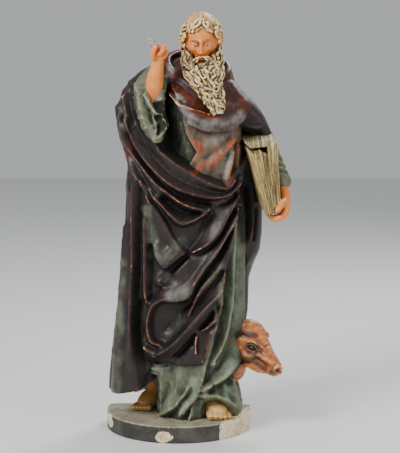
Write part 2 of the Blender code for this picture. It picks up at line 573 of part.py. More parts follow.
def cape():
    c = Column([
        (560, -78, 134, -56, 62, 4, 2.3, 2.5), (600, -80, 136, -60, 62, 4, 2.3, 2.5), (632, -78, 135, -58,
            60, 4, 2.2, 2.4),
        (645, -74, 126, -54, 58, 4, 2.2, 2.3), (662, -64, 113, -48, 54, 6, 2.2, 2.2), (680, -46, 98, -38,
            50, 8, 2.1, 2.1),
        (690, -30, 86, -28, 46, 10, 2.0, 2.0), (700, -10, 72, -16, 42, 12, 2.0, 2.0), (712, 8, 62, -8, 38,
            14, 2.0, 2.0)], blur=5)
    f = c.fold
    f([(-24, 676), (-14, 656), (-2, 642), (10, 632)], -6)
    f([(-12, 664), (-4, 650), (2, 640)], 3)
    c.ledge([(-3, 648), (3, 636), (16, 628), (30, 621), (44, 617), (58, 612)], 8, 2, 6)
    c.ledge([(-14, 650), (-4, 636), (8, 622), (24, 609), (40, 600)], 7, 1, -7)
    f([(58, 612), (80, 607), (104, 606), (120, 612)], 5)
    f([(44, 606), (60, 597), (84, 594), (104, 600)], 7)
    f([(20, 600), (38, 589), (60, 584), (84, 584), (104, 592)], 2)
    f([(6, 612), (16, 602)], -3)
    f([(-14, 676), (8, 664), (30, 646), (60, 632), (96, 628)], -2)
    f([(-20, 688), (2, 680), (24, 664)], 3)
    f([(128, 634), (118, 622), (110, 612)], 4)
    f([(122, 640), (110, 626)], -1)
    f([(96, 676), (108, 656), (120, 642)], 1)
    f([(84, 684), (96, 664), (106, 646)], -2)
    for deg, h in ((100, 0), (130, 3), (150, -2), (170, 3), (190, -3), (212, 3), (235, -2), (255, 2),
        (280, 0)):
        c.pleat([(deg, 565), (deg, 610, h), (deg, 650, h * 0.5), (deg, 690, 0)], h)
    c.solve(blur=2)

    def low(turn):
        x = np.array([-60, -23, -8, 4, 16, 35, 52, 74, 100, 120, 129], float)
        z = np.array([668, 662, 640, 620, 597, 586, 580, 578, 581, 598, 612], float)
        t = c.turnOf(x, z)
        t = np.where(t > 0.5, t - 1, t)
        tt = np.where(turn > 0.5, turn - 1, turn)
        return np.interp(tt, np.concatenate([[-0.5, -0.4, -0.3, -0.25], t, [0.25, 0.3, 0.5]]),
            np.concatenate([[590, 590, 610, 650], z, [620, 604, 590]]))

    made.append(columnBody("cape", "cape", c, low, 712, sizes["cape"], lambda turn,
        z: 2.6 * wrinkles(turn * 14, z / 34, 6) - 0.9, rim=3, foot=3, top=(34, 10, 716),
        bottom=(25, 5, 640)))
    # hood gathered at the nape, falling in nested folds to the two sides of the neck
    for j in range(4):
        d = 11 * j
        left = [(34, 56, 716 - d * 0.7), (2, 44, 720 - d * 0.9), (-17 - 3 * j, 18, 715 - d),
            (-20 - 3 * j, -4, 704 - d), (-10 - 3 * j, -22, 689 - d), (4 - j, -34, 674 - d)]
        right = [(34, 56, 716 - d * 0.7), (66, 46, 712 - d * 0.9), (88 + 3 * j, 24, 702 - d),
            (94 + 3 * j, 2, 692 - d), (88 + 2 * j, -16, 682 - d), (76 + j, -28, 672 - d)]
        for name, path in (("cowlLeft", left), ("cowlRight", right)):
            made.append(strand("%s%d" % (name, j), "cape", path, [8, 9, 7.5, 6.5, 5.5, 3.0], around=20,
                step=2.5, flat=0.7, grooves=0.0, face=(0, 0.3, 1)))
    made.append(tube("cowlCore", "cape", [(-8, -10, 676), (-6, 12, 690), (6, 36, 696), (34, 48, 694),
        (64, 38, 690), (80, 12, 684), (80, -8, 674)], [10, 16, 18, 18, 17, 15, 10], around=28, step=4))


def habit():
    c = Column([(430, -30, 122, -50, 56, 4, 2.3, 2.5), (470, -30, 120, -52, 56, 4, 2.3, 2.5),
        (520, -30, 118, -50, 56, 4, 2.3, 2.5),
                (580, -30, 116, -46, 54, 4, 2.3, 2.5), (650, -34, 112, -40, 48, 4, 2.3, 2.4)])
    f = c.fold
    f([(112, 575), (102, 558), (78, 536), (54, 514), (44, 500)], 5)
    f([(94, 566), (74, 548), (50, 530)], -2)
    f([(103, 540), (98, 515), (88, 480)], 5)
    f([(96, 540), (86, 505), (80, 485)], -5)
    f([(114, 570), (111, 530), (108, 500)], 4)
    f([(108, 556), (106, 520), (100, 490)], -5)
    f([(60, 575), (48, 560), (40, 545)], 1)
    f([(30, 560), (40, 540), (30, 520)], 3)
    f([(64, 505), (58, 490)], -2)
    c.solve(blur=2)
    edge = curveX([(10, 600), (15, 576), (36, 542), (22, 520), (10, 500)])

    def drop(turn, z):
        p = c.place(turn, z)
        d = edge(z) - p[..., 0]
        front = (turn < 0.25) | (turn > 0.72)
        return np.where(front, -14 * ease(d / 5), -6.0) + 3.2 * wrinkles(turn * 18, z / 34, 2) - 1.1

    made.append(columnBody("habit", "habit", c, 440, 640, sizes["habit"], drop, top=(40, 5, 640),
        bottom=(40, 5, 440)))
    t = Column([(490, -12, 60, -42, 40, 4, 2.3, 2.3), (560, -8, 60, -38, 40, 4, 2.3, 2.3),
        (610, -6, 60, -34, 36, 4, 2.3, 2.3)])
    t.fold([(12, 596), (-2, 560), (6, 530)], 4)
    t.fold([(-8, 590), (-12, 560), (-8, 530)], -4)
    t.fold([(16, 570), (18, 545), (10, 525)], -2)
    t.solve(blur=2)
    made.append(columnBody("innerTunic", "tunic", t, 490, 610, (200, 90), lambda turn,
        z: 5.0 * wrinkles(turn * 18, z / 26, 3) - 1.5))


def rightArm():
    # sleeve hanging from the raised forearm
    c = Column([(562, -44, -30, -70, -46, -56, 2.0, 2.0), (572, -54, -22, -74, -30, -50, 2.0, 2.0),
        (590, -68, -17, -78, -6, -42, 2.1, 2.0), (612, -76, -20, -80, 10, -36, 2.1, 2.0),
                (635, -80, -25, -80, 14, -34, 2.1, 2.0), (655, -80, -24, -76, 16, -32, 2.1, 2.0), (672,
                    -76, -24, -66, 18, -28, 2.0, 2.0), (688, -64, -34, -52, 14, -22, 2.0, 2.0), (700, -54,
                    -42, -40, 0, -20, 2.0, 2.0)], blur=5, gain=1.3)
    f = c.fold
    f([(-75, 668), (-72, 655), (-66, 628), (-61, 606), (-54, 590)], 5)
    f([(-68, 668), (-63, 650), (-59, 630)], -4)
    f([(-60, 650), (-50, 634), (-42, 618), (-28, 613)], 6)
    f([(-50, 668), (-46, 655), (-42, 640), (-36, 630)], -9)
    f([(-25, 672), (-30, 652), (-36, 640)], 7)
    f([(-27, 642), (-28, 615), (-20, 592)], 5)
    f([(-52, 622), (-46, 602), (-40, 588)], -7)
    f([(-36, 610), (-34, 598), (-32, 588)], -9)
    f([(-40, 585), (-38, 572), (-36, 566)], 4)
    f([(-44, 612), (-42, 596), (-38, 584)], 4)
    f([(-62, 592), (-54, 578), (-46, 568)], 3)
    f([(-24, 600), (-24, 585), (-30, 572)], 3)
    f([(-70, 640), (-66, 616), (-58, 596)], 4)
    f([(-72, 652), (-70, 630), (-64, 606)], -3)
    f([(-46, 650), (-40, 636), (-33, 628)], -8)
    f([(-34, 660), (-31, 645), (-30, 634)], 6)
    f([(-50, 618), (-42, 610), (-33, 606)], -3)
    f([(-47, 592), (-40, 598), (-33, 600)], 3)
    f([(-30, 606), (-25, 592), (-30, 580), (-40, 570)], 6)
    f([(-33, 594), (-32, 586), (-36, 578)], -8)
    for deg, h in ((90, -3), (120, 3), (150, -3), (180, 0), (220, 3), (250, 0)):
        c.pleat([(deg, 572), (deg, 630), (deg, 690)], h)
    c.solve(blur=0)
    made.append(columnBody("sleeve", "sleeve", c, 562, 700, sizes["sleeve"], lambda turn,
        z: 5.0 * wrinkles(turn * 9 + z / 34, z / 26, 7) + 1.6 * wrinkles(turn * 18 - z / 50, z / 15,
        2) - 2.0, rim=2, foot=2))
    # shoulder and upper arm under the cloak
    made.append(tube("upperArm", "cloak", [(-2, 20, 668), (-40, 14, 664), (-78, 0, 644)], [30, 34, 30],
        around=24, step=5))
    # forearm
    made.append(tube("forearm", "skin", [(-46, -44, 622), (-44, -56, 650), (-40, -64, 680),
        (-36, -70, 702), (-34, -74, 716)], [14, 16, 15, 11.5, 10], around=28, step=3, up=(0, 1, 0.1)))
    # palm and bent fingers
    made.append(ball("palm", "skin", (-35, -76, 727), (13, 11, 16), (0, -8, 0), sub=4))
    made.append(tube("thumb", "skin", [(-44, -84, 716), (-43, -90, 728), (-38, -93, 738)], [5, 5.4, 4.2],
        around=16, step=2))
    made.append(tube("ringFinger", "skin", [(-28, -78, 736), (-24, -88, 736), (-27, -94, 728),
        (-33, -92, 722)], [5.2, 5.2, 4.8, 4], around=16, step=2))
    made.append(tube("littleFinger", "skin", [(-24, -72, 732), (-20, -80, 728), (-23, -88, 720),
        (-30, -88, 716)], [4.6, 4.6, 4.2, 3.6], around=16, step=2))
    made.append(tube("forefinger", "stump", [(-42, -76, 732), (-46, -80, 744), (-50, -80, 753)],
        [5.6, 5.2, 4.0], around=16, step=2))
    made.append(tube("middleFinger", "stump", [(-37, -80, 734), (-40, -86, 742), (-43, -88, 748)],
        [5.4, 5.0, 3.6], around=16, step=2))


def leftArm():
    shoulder = tube("shoulderCloak", "cloak", [(84, 8, 640), (110, 8, 620), (134, 8, 598), (154, 6, 578),
        (172, 4, 562)], [30, 31, 27, 19, 8], around=72, step=1.6, up=(0, 1, 0.2))
    press(shoulder, [([(104, -26, 588), (124, -26, 585), (142, -18, 585), (156, -8, 587)], 4.5, 5.0),
        ([(108, -22, 572), (130, -20, 570), (150, -12, 568)], 8, -7.0),
                     ([(104, -24, 612), (124, -20, 603), (144, -12, 597)], 7,
                         -3.5), ([(92, -26, 622), (112, -20, 622), (132, -10, 612)], 5, 3.0),
                     ([(100, 30, 640), (130, 30, 612), (158, 20, 584)], 8,
                         4.0), ([(96, 36, 610), (130, 34, 590)], 7, -4.0)])
    made.append(shoulder)
    sleeve = tube("forearmSleeve", "sleeve", [(150, 22, 584), (165, 18, 556), (176, 8, 530),
        (188, -6, 500), (194, -14, 480)], [16, 18, 15.5, 15, 14], around=64, step=1.6, up=(0, 1, 0.2))
    press(sleeve, [([(180, -6, 540), (196, 0, 526)], 3.5, 2.5),
        ([(178, -12, 526), (198, -6, 512)], 4, 3.0), ([(184, -18, 512), (204, -10, 500)], 4, 3.5),
        ([(180, -10, 533), (198, -4, 519)], 3, -2.5), ([(182, -16, 519), (202, -8, 506)], 3, -2.5),
                   ([(186, -24, 502), (208, -14, 492)], 4, 2.5), ([(188, -22, 506), (206, -12, 497)], 3,
                       -2.5)])
    made.append(sleeve)
    made.append(tube("cuff", "sleeve", [(190, -8, 494), (195, -14, 482), (197, -17, 474)],
        [15.5, 16.5, 12], around=40, step=2, up=(0, 1, 0.2), wave=lambda a, v: 1 + 0.05 * np.cos(5 * a)))
    hand = tube("handBack", "skin", [(193, -12, 484), (199, -20, 464), (199, -30, 446), (194, -38, 432)],
        [10, 12, 12.5, 9], around=40, step=2, up=(0, 1, 0.2), squash=0.8)
    made.append(hand)
    for k in range(4):
        y = -46 + 13 * k
        made.append(tube("holdFinger%d" % k, "skin", [(201 - k, y + 8, 448 - 2 * k),
            (200 - k, y, 432 - 2 * k), (191, y - 2, 421 - k), (178, y - 1, 419 - k), (169, y, 424)], [5.6,
            6.6, 6.2, 5.8, 4.2], around=20, step=1.6))
    made.append(tube("holdThumb", "skin", [(198, -28, 454), (194, -46, 448), (187, -58, 440),
        (182, -60, 434)], [6.5, 6.6, 5.6, 4], around=20, step=1.6))


def book():
    # closed book held head down under the arm: two covers and three gatherings of leaves that gape at the top
    def slab(name, slot, front, rear, swell, leaves, cuts):
        bm = bmesh.new()
        bmesh.ops.create_cube(bm, size=2)
        bmesh.ops.subdivide_edges(bm, edges=bm.edges, cuts=cuts, use_grid_fill=True)
        for v in bm.verts:
            u, d, w = v.co.x, v.co.y, v.co.z
            p = Vector((0, 0, 0))
            for (i, k), q in front.items():
                p += Vector(q) * (0.25 * (1 + i * u) * (1 + k * w) * (1 - d) / 2)
            for (i, k), q in rear.items():
                p += Vector(q) * (0.25 * (1 + i * u) * (1 + k * w) * (1 + d) / 2)
            k = max(0.0, -d) ** 4
            p.y -= swell * k * (1 - u * u) * (1 - 0.5 * w * w)
            if leaves:
                p.y += k * leaves * (1.8 * math.sin(u * 6.3 + 1.7 * math.sin(2.3 * w + u)) + 1.0 * math.sin(u * 17 + 3.0 * math.sin(1.7 * w + 2 * u)) + 1.5 * wrinkles(u * 5.5 + w, w * 1.6, 4) - 0.6)
                p.z += max(0.0, w) ** 6 * leaves * 0.8 * math.sin(u * 11)
            v.co = p * mm
        made.append(put(bm, name, slot))

    def corners(upLeft, upRight, lowLeft, lowRight, back):
        front = {(-1, 1): upLeft, (1, 1): upRight, (-1, -1): lowLeft, (1, -1): lowRight}
        rear = {key: (x + back[0], y + back[1], z + back[2]) for key, (x, y, z) in front.items()}
        return front, rear
    # left gathering, middle, right gathering, then the covers
    front, rear = corners((140, -54, 536), (156, -54, 543), (166, -56, 430), (175, -57, 426), (-14, 70, 14))
    slab("leavesA", "book", front, rear, 3, 1.0, sizes["book"])
    front, rear = corners((155, -46, 542), (168, -40, 536), (172, -54, 430), (181, -53, 428), (-12, 66, 14))
    slab("leavesB", "book", front, rear, 2, 0.9, sizes["book"])
    front, rear = corners((166, -47, 550), (178, -46, 556), (177, -54, 430), (188, -52, 430), (-10, 66, 14))
    slab("leavesC", "book", front, rear, 2, 0.9, sizes["book"])
    front, rear = corners((132, -50, 541), (141, -57, 538), (164, -55, 424), (170, -60, 424), (-14, 76, 18))
    slab("coverA", "book", front, rear, 0, 0, 10)
    front, rear = corners((177, -50, 560), (184, -44, 560), (185, -57, 428), (191, -52, 432), (-10, 72, 14))
    slab("coverB", "book", front, rear, 0, 0, 10)
    front, rear = corners((122, -30, 560), (182, -44, 562), (134, -38, 548), (182, -46, 554), (-10, 60, 14))
    slab("bookHead", "bookTop", front, rear, 0, 0, 8)


def feet():
    # the one seen to the left: ankle under the cloak, toes toward the front left
    ankle = tube("ankleA", "foot", [(-40, 58, 106), (-44, 54, 84), (-48, 50, 62), (-50, 48, 44)],
        [14, 15.5, 18, 17], around=36, step=2.5, up=(0, 1, 0.2))
    press(ankle, [((-58, 38, 80), 6, 3.0), ((-46, 36, 96), 8, -1.5)])
    made.append(ankle)
    made.append(tube("footA", "foot", [(-46, 60, 50), (-54, 48, 52), (-64, 36, 47), (-72, 27, 41)],
        [17, 19, 16.5, 12], around=40, step=2.5, squash=1.1))
    for k in range(5):
        a = k / 4
        made.append(tube("toeA%d" % k, "foot", [(-80 + 25 * a, 36 - 6 * a, 42),
            (-85 + 27 * a, 27 - 5 * a, 41.5), (-87.5 + 28 * a, 21 - 4 * a, 38.5)], [6, 5.8 + 1.0 * a,
            4.6 + 1.4 * a], around=18, step=1.5))
        made.append(ball("nailA%d" % k, "foot", (-86.5 + 28 * a, 18.5 - 4 * a, 41.5 + 0.6 * a),
            (3 + a, 2, 2.2 + 0.5 * a), sub=2))
    made.append(tube("footB", "foot", [(60, 20, 52), (66, -2, 52), (74, -22, 46), (79, -34, 41)],
        [20, 19.5, 17.5, 13], around=44, step=2.5, squash=1.15))
    for k in range(5):
        a = k / 4
        made.append(tube("toeB%d" % k, "foot", [(60 + 32 * a, -28 + 8 * a * a, 43 - 3 * a),
            (61 + 34 * a, -40 + 10 * a * a, 41.5 - 3 * a), (62 + 35 * a, -48 + 12 * a * a,
            39 - 2 * a)], [8 - 1.6 * a, 7.8 - 2.2 * a, 6.4 - 1.8 * a], around=18, step=1.5))
        made.append(ball("nailB%d" % k, "foot", (62 + 35 * a, -51 + 12 * a * a, 42.5 - 3.2 * a),
            (4 - a, 2.2, 2.8 - 0.7 * a), sub=2))


def ox():
    made.append(ball("oxBody", "ox", (52, 52, 64), (54, 28, 40), (0, 6, 0), sub=4))
    made.append(tube("oxNeck", "ox", [(66, 50, 84), (90, 46, 112), (104, 44, 138), (114, 40, 160)],
        [32, 30, 31, 32], around=36, step=4, up=(0, 1, 0)))
    made.append(tube("oxChest", "ox", [(80, 34, 90), (96, 24, 104), (109, 15, 116), (114, 12, 134)],
        [16, 18, 19, 16], around=32, step=4, up=(0, 1, 0)))
    skull = tube("oxHead", "ox", [(98, 48, 174), (110, 40, 174), (124, 30, 171), (137, 20, 166),
        (150, 12, 156), (163, 4, 143), (176, -2, 130), (186, -6, 122), (192, -8, 118)],
                 [24, 34, 40, 41, 34.5, 27, 22, 17.5, 12], around=80, step=1.5, up=(0, 1, 0.0), squash=0.86)

    def q(*places):
        # marks were placed on a head nearer the front
        return [(x, y + 11 * ease((170 - x) / 33), z) for x, y, z in places]
    press(skull, [
        (q((140, -30, 168)), 9, -12), (q((120, -26, 186), (132, -33, 185), (146, -32, 180),
            (157, -26, 170)), 6, 10), (q((126, -31, 156), (139, -32, 153), (152, -29, 156)), 5, 5.0),
        (q((150, -27, 158), (164, -22, 147), (178, -20, 137)), 6,
            5.5), (q((146, -27, 145), (162, -24, 133)), 7.5, -8), (q((124, -26, 144)), 13,
            7), (q((110, -18, 166), (117, -24, 148)), 6, -5),
        (q((150, -14, 190), (166, -6, 174)), 8, -5), (q((172, -8, 166), (188, -12, 147)), 6, 4),
        (q((190, -22, 123)), 4.5, -11), (q((183, -22, 130), (190, -21, 132.5), (196, -16, 128)), 3.6,
            7), (q((182, -24, 119), (188, -24, 114.5)), 3.8, 5),
        (q((198, -14, 113), (188, -23, 110), (174, -24, 112), (160, -24, 119)), 2.6,
            -10), (q((190, -18, 104.5), (174, -21, 105.5), (160, -21, 113)), 4.2, 6.5),
        (q((150, -22, 127), (134, -24, 132)), 6, 5.5), (q((130, -28, 139), (148, -26, 134)), 5,
            -5), (q((138, -30, 194), (150, -24, 187)), 4, 4), (q((126, -26, 197), (136, -24, 201)), 4, -4),
        (q((146, -28, 172), (154, -24, 166), (160, -22, 158)), 4, -3)])
    made.append(skull)
    jaw = tube("oxJaw", "ox", [(98, 36, 152), (116, 24, 147), (137, 9, 141), (156, -3, 131),
        (170, -8, 122)], [18, 22, 18, 14.5, 10], around=56, step=1.5, up=(0, 1, 0))
    press(jaw, [([(120, 2, 130), (140, -8, 125), (158, -16, 119)], 4, 3.5),
        ([(112, 6, 140), (132, -6, 138)], 6, -3.0), ([(150, -14, 133), (166, -20, 122)], 4, -2.5)])
    made.append(jaw)
    made.append(tube("oxForehead", "ox", [(104, 34, 184), (122, 20, 190), (138, 10, 189), (152, 4, 181),
        (164, 0, 168)], [12, 19, 21, 18, 12], around=56, step=1.5, up=(0, 1, 0)))
    made.append(ball("oxEye", "oxEye", q((140, -23, 167))[0], (5.8, 6.6, 4.0), (0, 28, 0), sub=3))
    for j, path in enumerate((q((129, -25, 169), (134, -29.5, 174), (140, -31, 174), (147, -29, 169),
        (151, -25, 162)), q((129, -25, 169), (133, -28.5, 163.5), (140, -29.5, 160.5), (147, -27.5, 160),
        (151, -25, 162)))):
        made.append(strand("oxLid%d" % j, "ox", path, [0.8, 1.5, 1.9, 1.5, 0.7], step=1.2, grooves=0))
    for j, path in enumerate((q((126, -27, 176), (134, -32, 180), (144, -32, 178), (154, -28, 168)),
        q((128, -27, 160), (136, -29, 156), (146, -29, 154), (154, -27, 157)),
        q((152, -26, 168), (160, -24, 158), (168, -22, 150)),
        q((158, -22, 128), (170, -22, 118), (182, -24, 112)))):
        made.append(strand("oxFold%d" % j, "ox", path, [0.8, 2.0, 2.2, 0.9], step=1.2, grooves=0))
    made.append(ball("oxBrowFar", "ox", (160, 22, 182), (11, 9, 9), (0, 30, 0), sub=3))
    poll = tube("oxPoll", "ox", [(112, 22, 192), (124, 14, 200), (138, 11, 201), (152, 12, 194),
        (160, 14, 184)], [9, 14, 15, 13, 8], around=56, step=1.5, up=(0, 1, 0))
    press(poll, [((108 + 7.3 * k, 0 + 2.2 * math.sin(1.9 * k), 209 - 0.16 * (k - 3) ** 2 - 7 * (k % 2)),
        3.2, 3.6 if k % 3 else -3.0) for k in range(8)]
          + [((112 + 6.1 * k, -2 + 2 * math.sin(2.7 * k), 197 - 0.3 * (k - 3) ** 2 + 3 * (k % 2)), 2.8,
              3.2 if (k + 1) % 3 else -3.0) for k in range(8)])
    made.append(poll)
    made.append(tube("oxHorn", "ox", [(158, 10, 188), (166, 8, 188), (171, 8, 183)], [9, 7, 4], around=18,
        step=2, up=(0, 1, 0)))
    made.append(tube("oxEar", "ox", [(132, 36, 192), (140, 48, 192), (146, 58, 186)], [7, 9, 4], around=20,
        step=3, squash=0.5))


def head():
    tilt = Matrix.Rotation(math.radians(17), 3, "X") @ Matrix.Rotation(math.radians(-3.4), 3, "Y")
    pivot = Vector((46, -16, 702))

    def at(x, y, z):
        return pivot + tilt @ Vector((x, y, z))
    made.append(tube("neck", "skin", [(38, 14, 664), (42, 6, 690), (45, -6, 716)], [27, 24, 24], around=32,
        step=4, up=(0, 1, 0)))
    bm = bmesh.new()
    bmesh.ops.create_icosphere(bm, subdivisions=sizes["head"], radius=1.0)
    for v in bm.verts:
        n = v.co.copy()
        x, y, z = n.x * 30.5, n.y * 40, n.z * 48
        if z < 0:
            x *= 1 - 0.26 * ease(-z / 48)
            y = y * (1 - 0.10 * ease(-z / 48))
        v.co = Vector((x, y * (0.94 if y < 0 else 1), z + 48))
    marks = [  # x, z, width, height, push out
        (0, 47, 2.6, 9, 6.2), (0, 36.8, 3.4, 3.6, 9.6), (0, 41, 2.8, 5, 2.6), (-4.6, 34.4, 2.2, 2.3,
            4.4), (4.6, 34.4, 2.2, 2.3, 4.4), (0, 31.6, 3, 1.6, -1.2),
        (-11.5, 50, 6.8, 4.8, -6.4), (11.5, 50, 6.8, 4.8, -6.4), (-5.5, 50, 2.4, 4, -2.2), (5.5, 50, 2.4,
            4, -2.2),
        (-11, 57.2, 8.5, 2.6, 3.4), (11, 57.2, 8.5, 2.6, 3.4), (0, 58, 5, 3.4, 1.0), (0, 70, 17, 9,
            1.2), (-24, 58, 5, 8, -1.4), (24, 58, 5, 8, -1.4),
        (-16, 42, 6.0, 4.5, 3.4), (16, 42, 6.0, 4.5, 3.4), (-17, 30, 5, 6, -2.0), (17, 30, 5, 6,
            -2.0), (-10.5, 33, 2.6, 5, -0.9), (10.5, 33, 2.6, 5, -0.9),
        (0, 24.0, 6.4, 1.5, 3.0), (0, 19.8, 5.2, 1.7, 3.2), (0, 21.9, 7.2, 0.8, -1.7), (0, 15.5, 5, 2,
            -1.2), (0, 8, 8, 5, 2.6)]
    for v in bm.verts:
        if v.co.y < 0:
            k = ease(-v.co.y / 18)
            d = 0.0
            for mx, mz, w, h, push in marks:
                d += push * math.exp(-((v.co.x - mx) / w) ** 2 - ((v.co.z - mz) / h) ** 2)
            v.co.y -= d * k
    for v in bm.verts:
        v.co = at(*v.co) * mm
    made.append(put(bm, "skull", "skin"))
    for side in (-1, 1):
        made.append(ball("eye%d" % side, "eye", tuple(at(side * 11.5, -30.6, 49.6)), (6.4, 6.0, 5.8),
            sub=3))
        made.append(ball("lid%d" % side, "skin", tuple(at(side * 11.6, -30.3, 51.6)), (7.7, 7.0, 5.0),
            sub=4))
        made.append(ball("under%d" % side, "skin", tuple(at(side * 11.6, -30.2, 44.6)), (7.6, 6.3, 3.4),
            sub=4))
        for j in range(2):
            made.append(strand("brow%d_%d" % (side, j), "brow",
                [tuple(at(side * 4.0, -39.6, 56.4 + 1.6 * j)),
                tuple(at(side * 8.5, -40.4, 58.8 + 1.2 * j)),
                tuple(at(side * 13.5, -38.4, 59.8 + 0.6 * j)),
                tuple(at(side * 19.5, -33.4, 57.4 - 0.4 * j))], [1.1, 1.8, 1.6,
                0.7], step=1.2, grooves=0.3))
        made.append(ball("ear%d" % side, "skin", tuple(at(side * 33.5, -3, 46)), (4.2, 6.5, 9.5),
            (0, side * 10, 0), sub=4))
        helix = [at(side * 34, -6, 40), at(side * 37, -8, 47), at(side * 37.5, -4, 54),
            at(side * 36, 3, 55)]
        made.append(strand("helix%d" % side, "skin", [tuple(p) for p in helix], [1.0, 1.8, 2.0, 1.4],
            step=1.5, grooves=0))
    # combed cap of hair
    bm = bmesh.new()
    bmesh.ops.create_icosphere(bm, subdivisions=sizes["head"], radius=1.0)
    for v in bm.verts:
        n = v.co.copy()
        ang = math.atan2(n.x, -n.y)
        away = 1 - n.z
        flow = 9 * ang + 1.9 * math.sin(4.2 * away + 2 * ang) + 1.2 * math.sin(5 * ang - 6 * away) + 3.0 * away
        lift = (4.6 * abs(math.cos(flow)) ** 0.8 + 1.7 * abs(math.cos(3.5 * flow + 1.0)) + 2.0 * math.sin(8 * away + 3 * math.sin(3 * ang)) - 3.6) * min(1.0, 0.25 + 1.4 * away)
        x, y, z = n.x * (33.6 + lift), n.y * (42.5 + lift), n.z * (46 + lift * 0.8) + 53
        if y < 0:
            line = 79 - 15 * (x / 31) ** 2 + 2.0 * math.sin(x / 4.2 + 1)
            w = ease((line - z) / 6)
            y *= 1 - 0.42 * w
            x *= 1 - 0.10 * w
        v.co = at(x, y + 2, z) * mm
    made.append(put(bm, "hairCap", "hair"))

    def hairLock(name, deg, z0, length, sway, waves, phase, hook, hand, radius, puff=0.0, lean=0.0):
        """A lock lying on the cap, hung from an angle round the head."""
        path, radii = [], []
        for u, w, t in lockPath(length, sway, waves, phase, hook, hand, 9):
            z = z0 - w
            k = math.sqrt(max(0.25, 1 - ((z - 53) / 50) ** 2)) if z > 53 else 1.0
            a = math.radians(deg) + (u + lean * w) / 36
            out = 2.2 + puff * t + 1.3 * math.cos(3.0 * t + phase)
            path.append(tuple(at(math.sin(a) * (33.6 * k + out), 2 - math.cos(a) * (41.5 * k + out), z)))
            radii.append(radius * (0.8 + 0.2 * math.sin(math.pi * min(1, t * 1.6))) * (1 - 0.58 * t ** 2))
        a = math.radians(deg)
        made.append(strand(name, "hair", path, radii, step=sizes["lock"], grooves=0.45, ridges=2.5,
            face=tuple(tilt @ Vector((math.sin(a), -math.cos(a), 0)))))
    # curls from one temple round the nape to the other, in rings
    n = 0
    for ring, (z0, count, length, radius, first, puff) in enumerate(((71, 12, 12, 4.6, 56, 2.6),
        (62, 14, 12, 4.8, 62, 4.0), (52, 13, 12, 4.6, 96, 4.0), (42, 12, 13, 4.6, 104, 3.4),
        (33, 12, 13, 4.2, 108, 2.4), (25, 10, 12, 3.8, 114, 1.5))):
        for j in range(count):
            deg = first + (360 - 2 * first) * (j + (0.4 if ring % 2 else 0.0) * (0 < j < count - 1)) / (count - 1)
            k = 1.7 * j + 2.3 * ring
            lift = 6 if deg < 150 else 0
            hairLock("curl%d" % n, deg, z0 + lift + 2.0 * math.sin(k * 1.3),
                length * (0.9 + 0.25 * math.sin(k)), 3.4, 0.8, k, 4.0 + 0.8 * math.sin(2.1 * k),
                1 if (j + ring) % 2 else -1, radius, puff=puff)
            n += 1
    # locks over the forehead
    for j, (deg, z0, length, sway, phase, hand, lean, radius,
        hook) in enumerate(((6, 96, 14, 3.4, 0.3, 1, -0.9, 3.6, 2.0),
        (-6, 96, 13, 3.0, 1.8, -1, -0.9, 3.4, 1.6), (17, 95, 13, 3.0, 2.6, -1, 0.2, 3.4, 1.4),
                                                                                  (-18, 93, 12, 2.6, 2.2,
                                                                                      -1, -0.5, 3.2,
                                                                                      1.2), (28, 90, 12,
                                                                                      2.6, 0.9, 1, 0.3,
                                                                                      3.2, 1.2), (-30, 89,
                                                                                      12, 2.6, 0.4, 1,
                                                                                      -0.3, 3.2, 1.2))):
        hairLock("fore%d" % j, deg, z0, length, sway, 0.6, phase, hook, hand, radius, puff=1.0, lean=lean)
    # beard: a core leaning to the right as it falls, with waving locks laid over it
    c = Column([(606, 70, 78, -81, -74, -77, 2, 2), (628, 56, 84, -84, -62, -73, 2, 2),
        (646, 44, 82, -84, -54, -69, 2, 2), (660, 32, 80, -82, -48, -64, 2, 2),
                (677, 19, 80, -79, -42, -58, 2, 2), (695, 10, 82, -73, -34, -50, 2, 2), (708, 9, 82, -66,
                    -26, -42, 2.2, 2), (722, 12, 79, -56, -20, -36, 2.2, 2), (742, 14, 77, -36, -8, -24,
                    2.2, 2)], blur=5)
    
    def top(turn):
        t = np.where(turn > 0.5, turn - 1, turn)
        return 738 - 42 * np.exp(-(t / 0.085) ** 4)

    def locks(turn, z):
        # waving locks that part and close as they fall, each finely grooved
        t = np.where(turn > 0.5, turn - 1, turn)
        s = t * 250
        run = s / 10.5 + 0.62 * np.sin(z / 8.5 + 1.6 * np.sin(s / 13) + 0.8) + 0.30 * np.sin(z / 4.3 + s / 6)
        k = np.floor(run + 0.5)
        ridge = np.abs(np.cos(math.pi * run)) ** 0.7
        fine = np.abs(np.cos(math.pi * (4 * run + 0.4 * np.sin(z / 5 + k)))) ** 0.8
        return 4.2 * ridge + 1.3 * fine + 1.6 * np.sin(z / 6.5 + 2.3 * k + 1.1 * np.sin(s / 9)) - 3.6

    made.append(columnBody("beardCore", "beard", c, 616, top, sizes["beard"], locks, top=(12, -20, 702)))

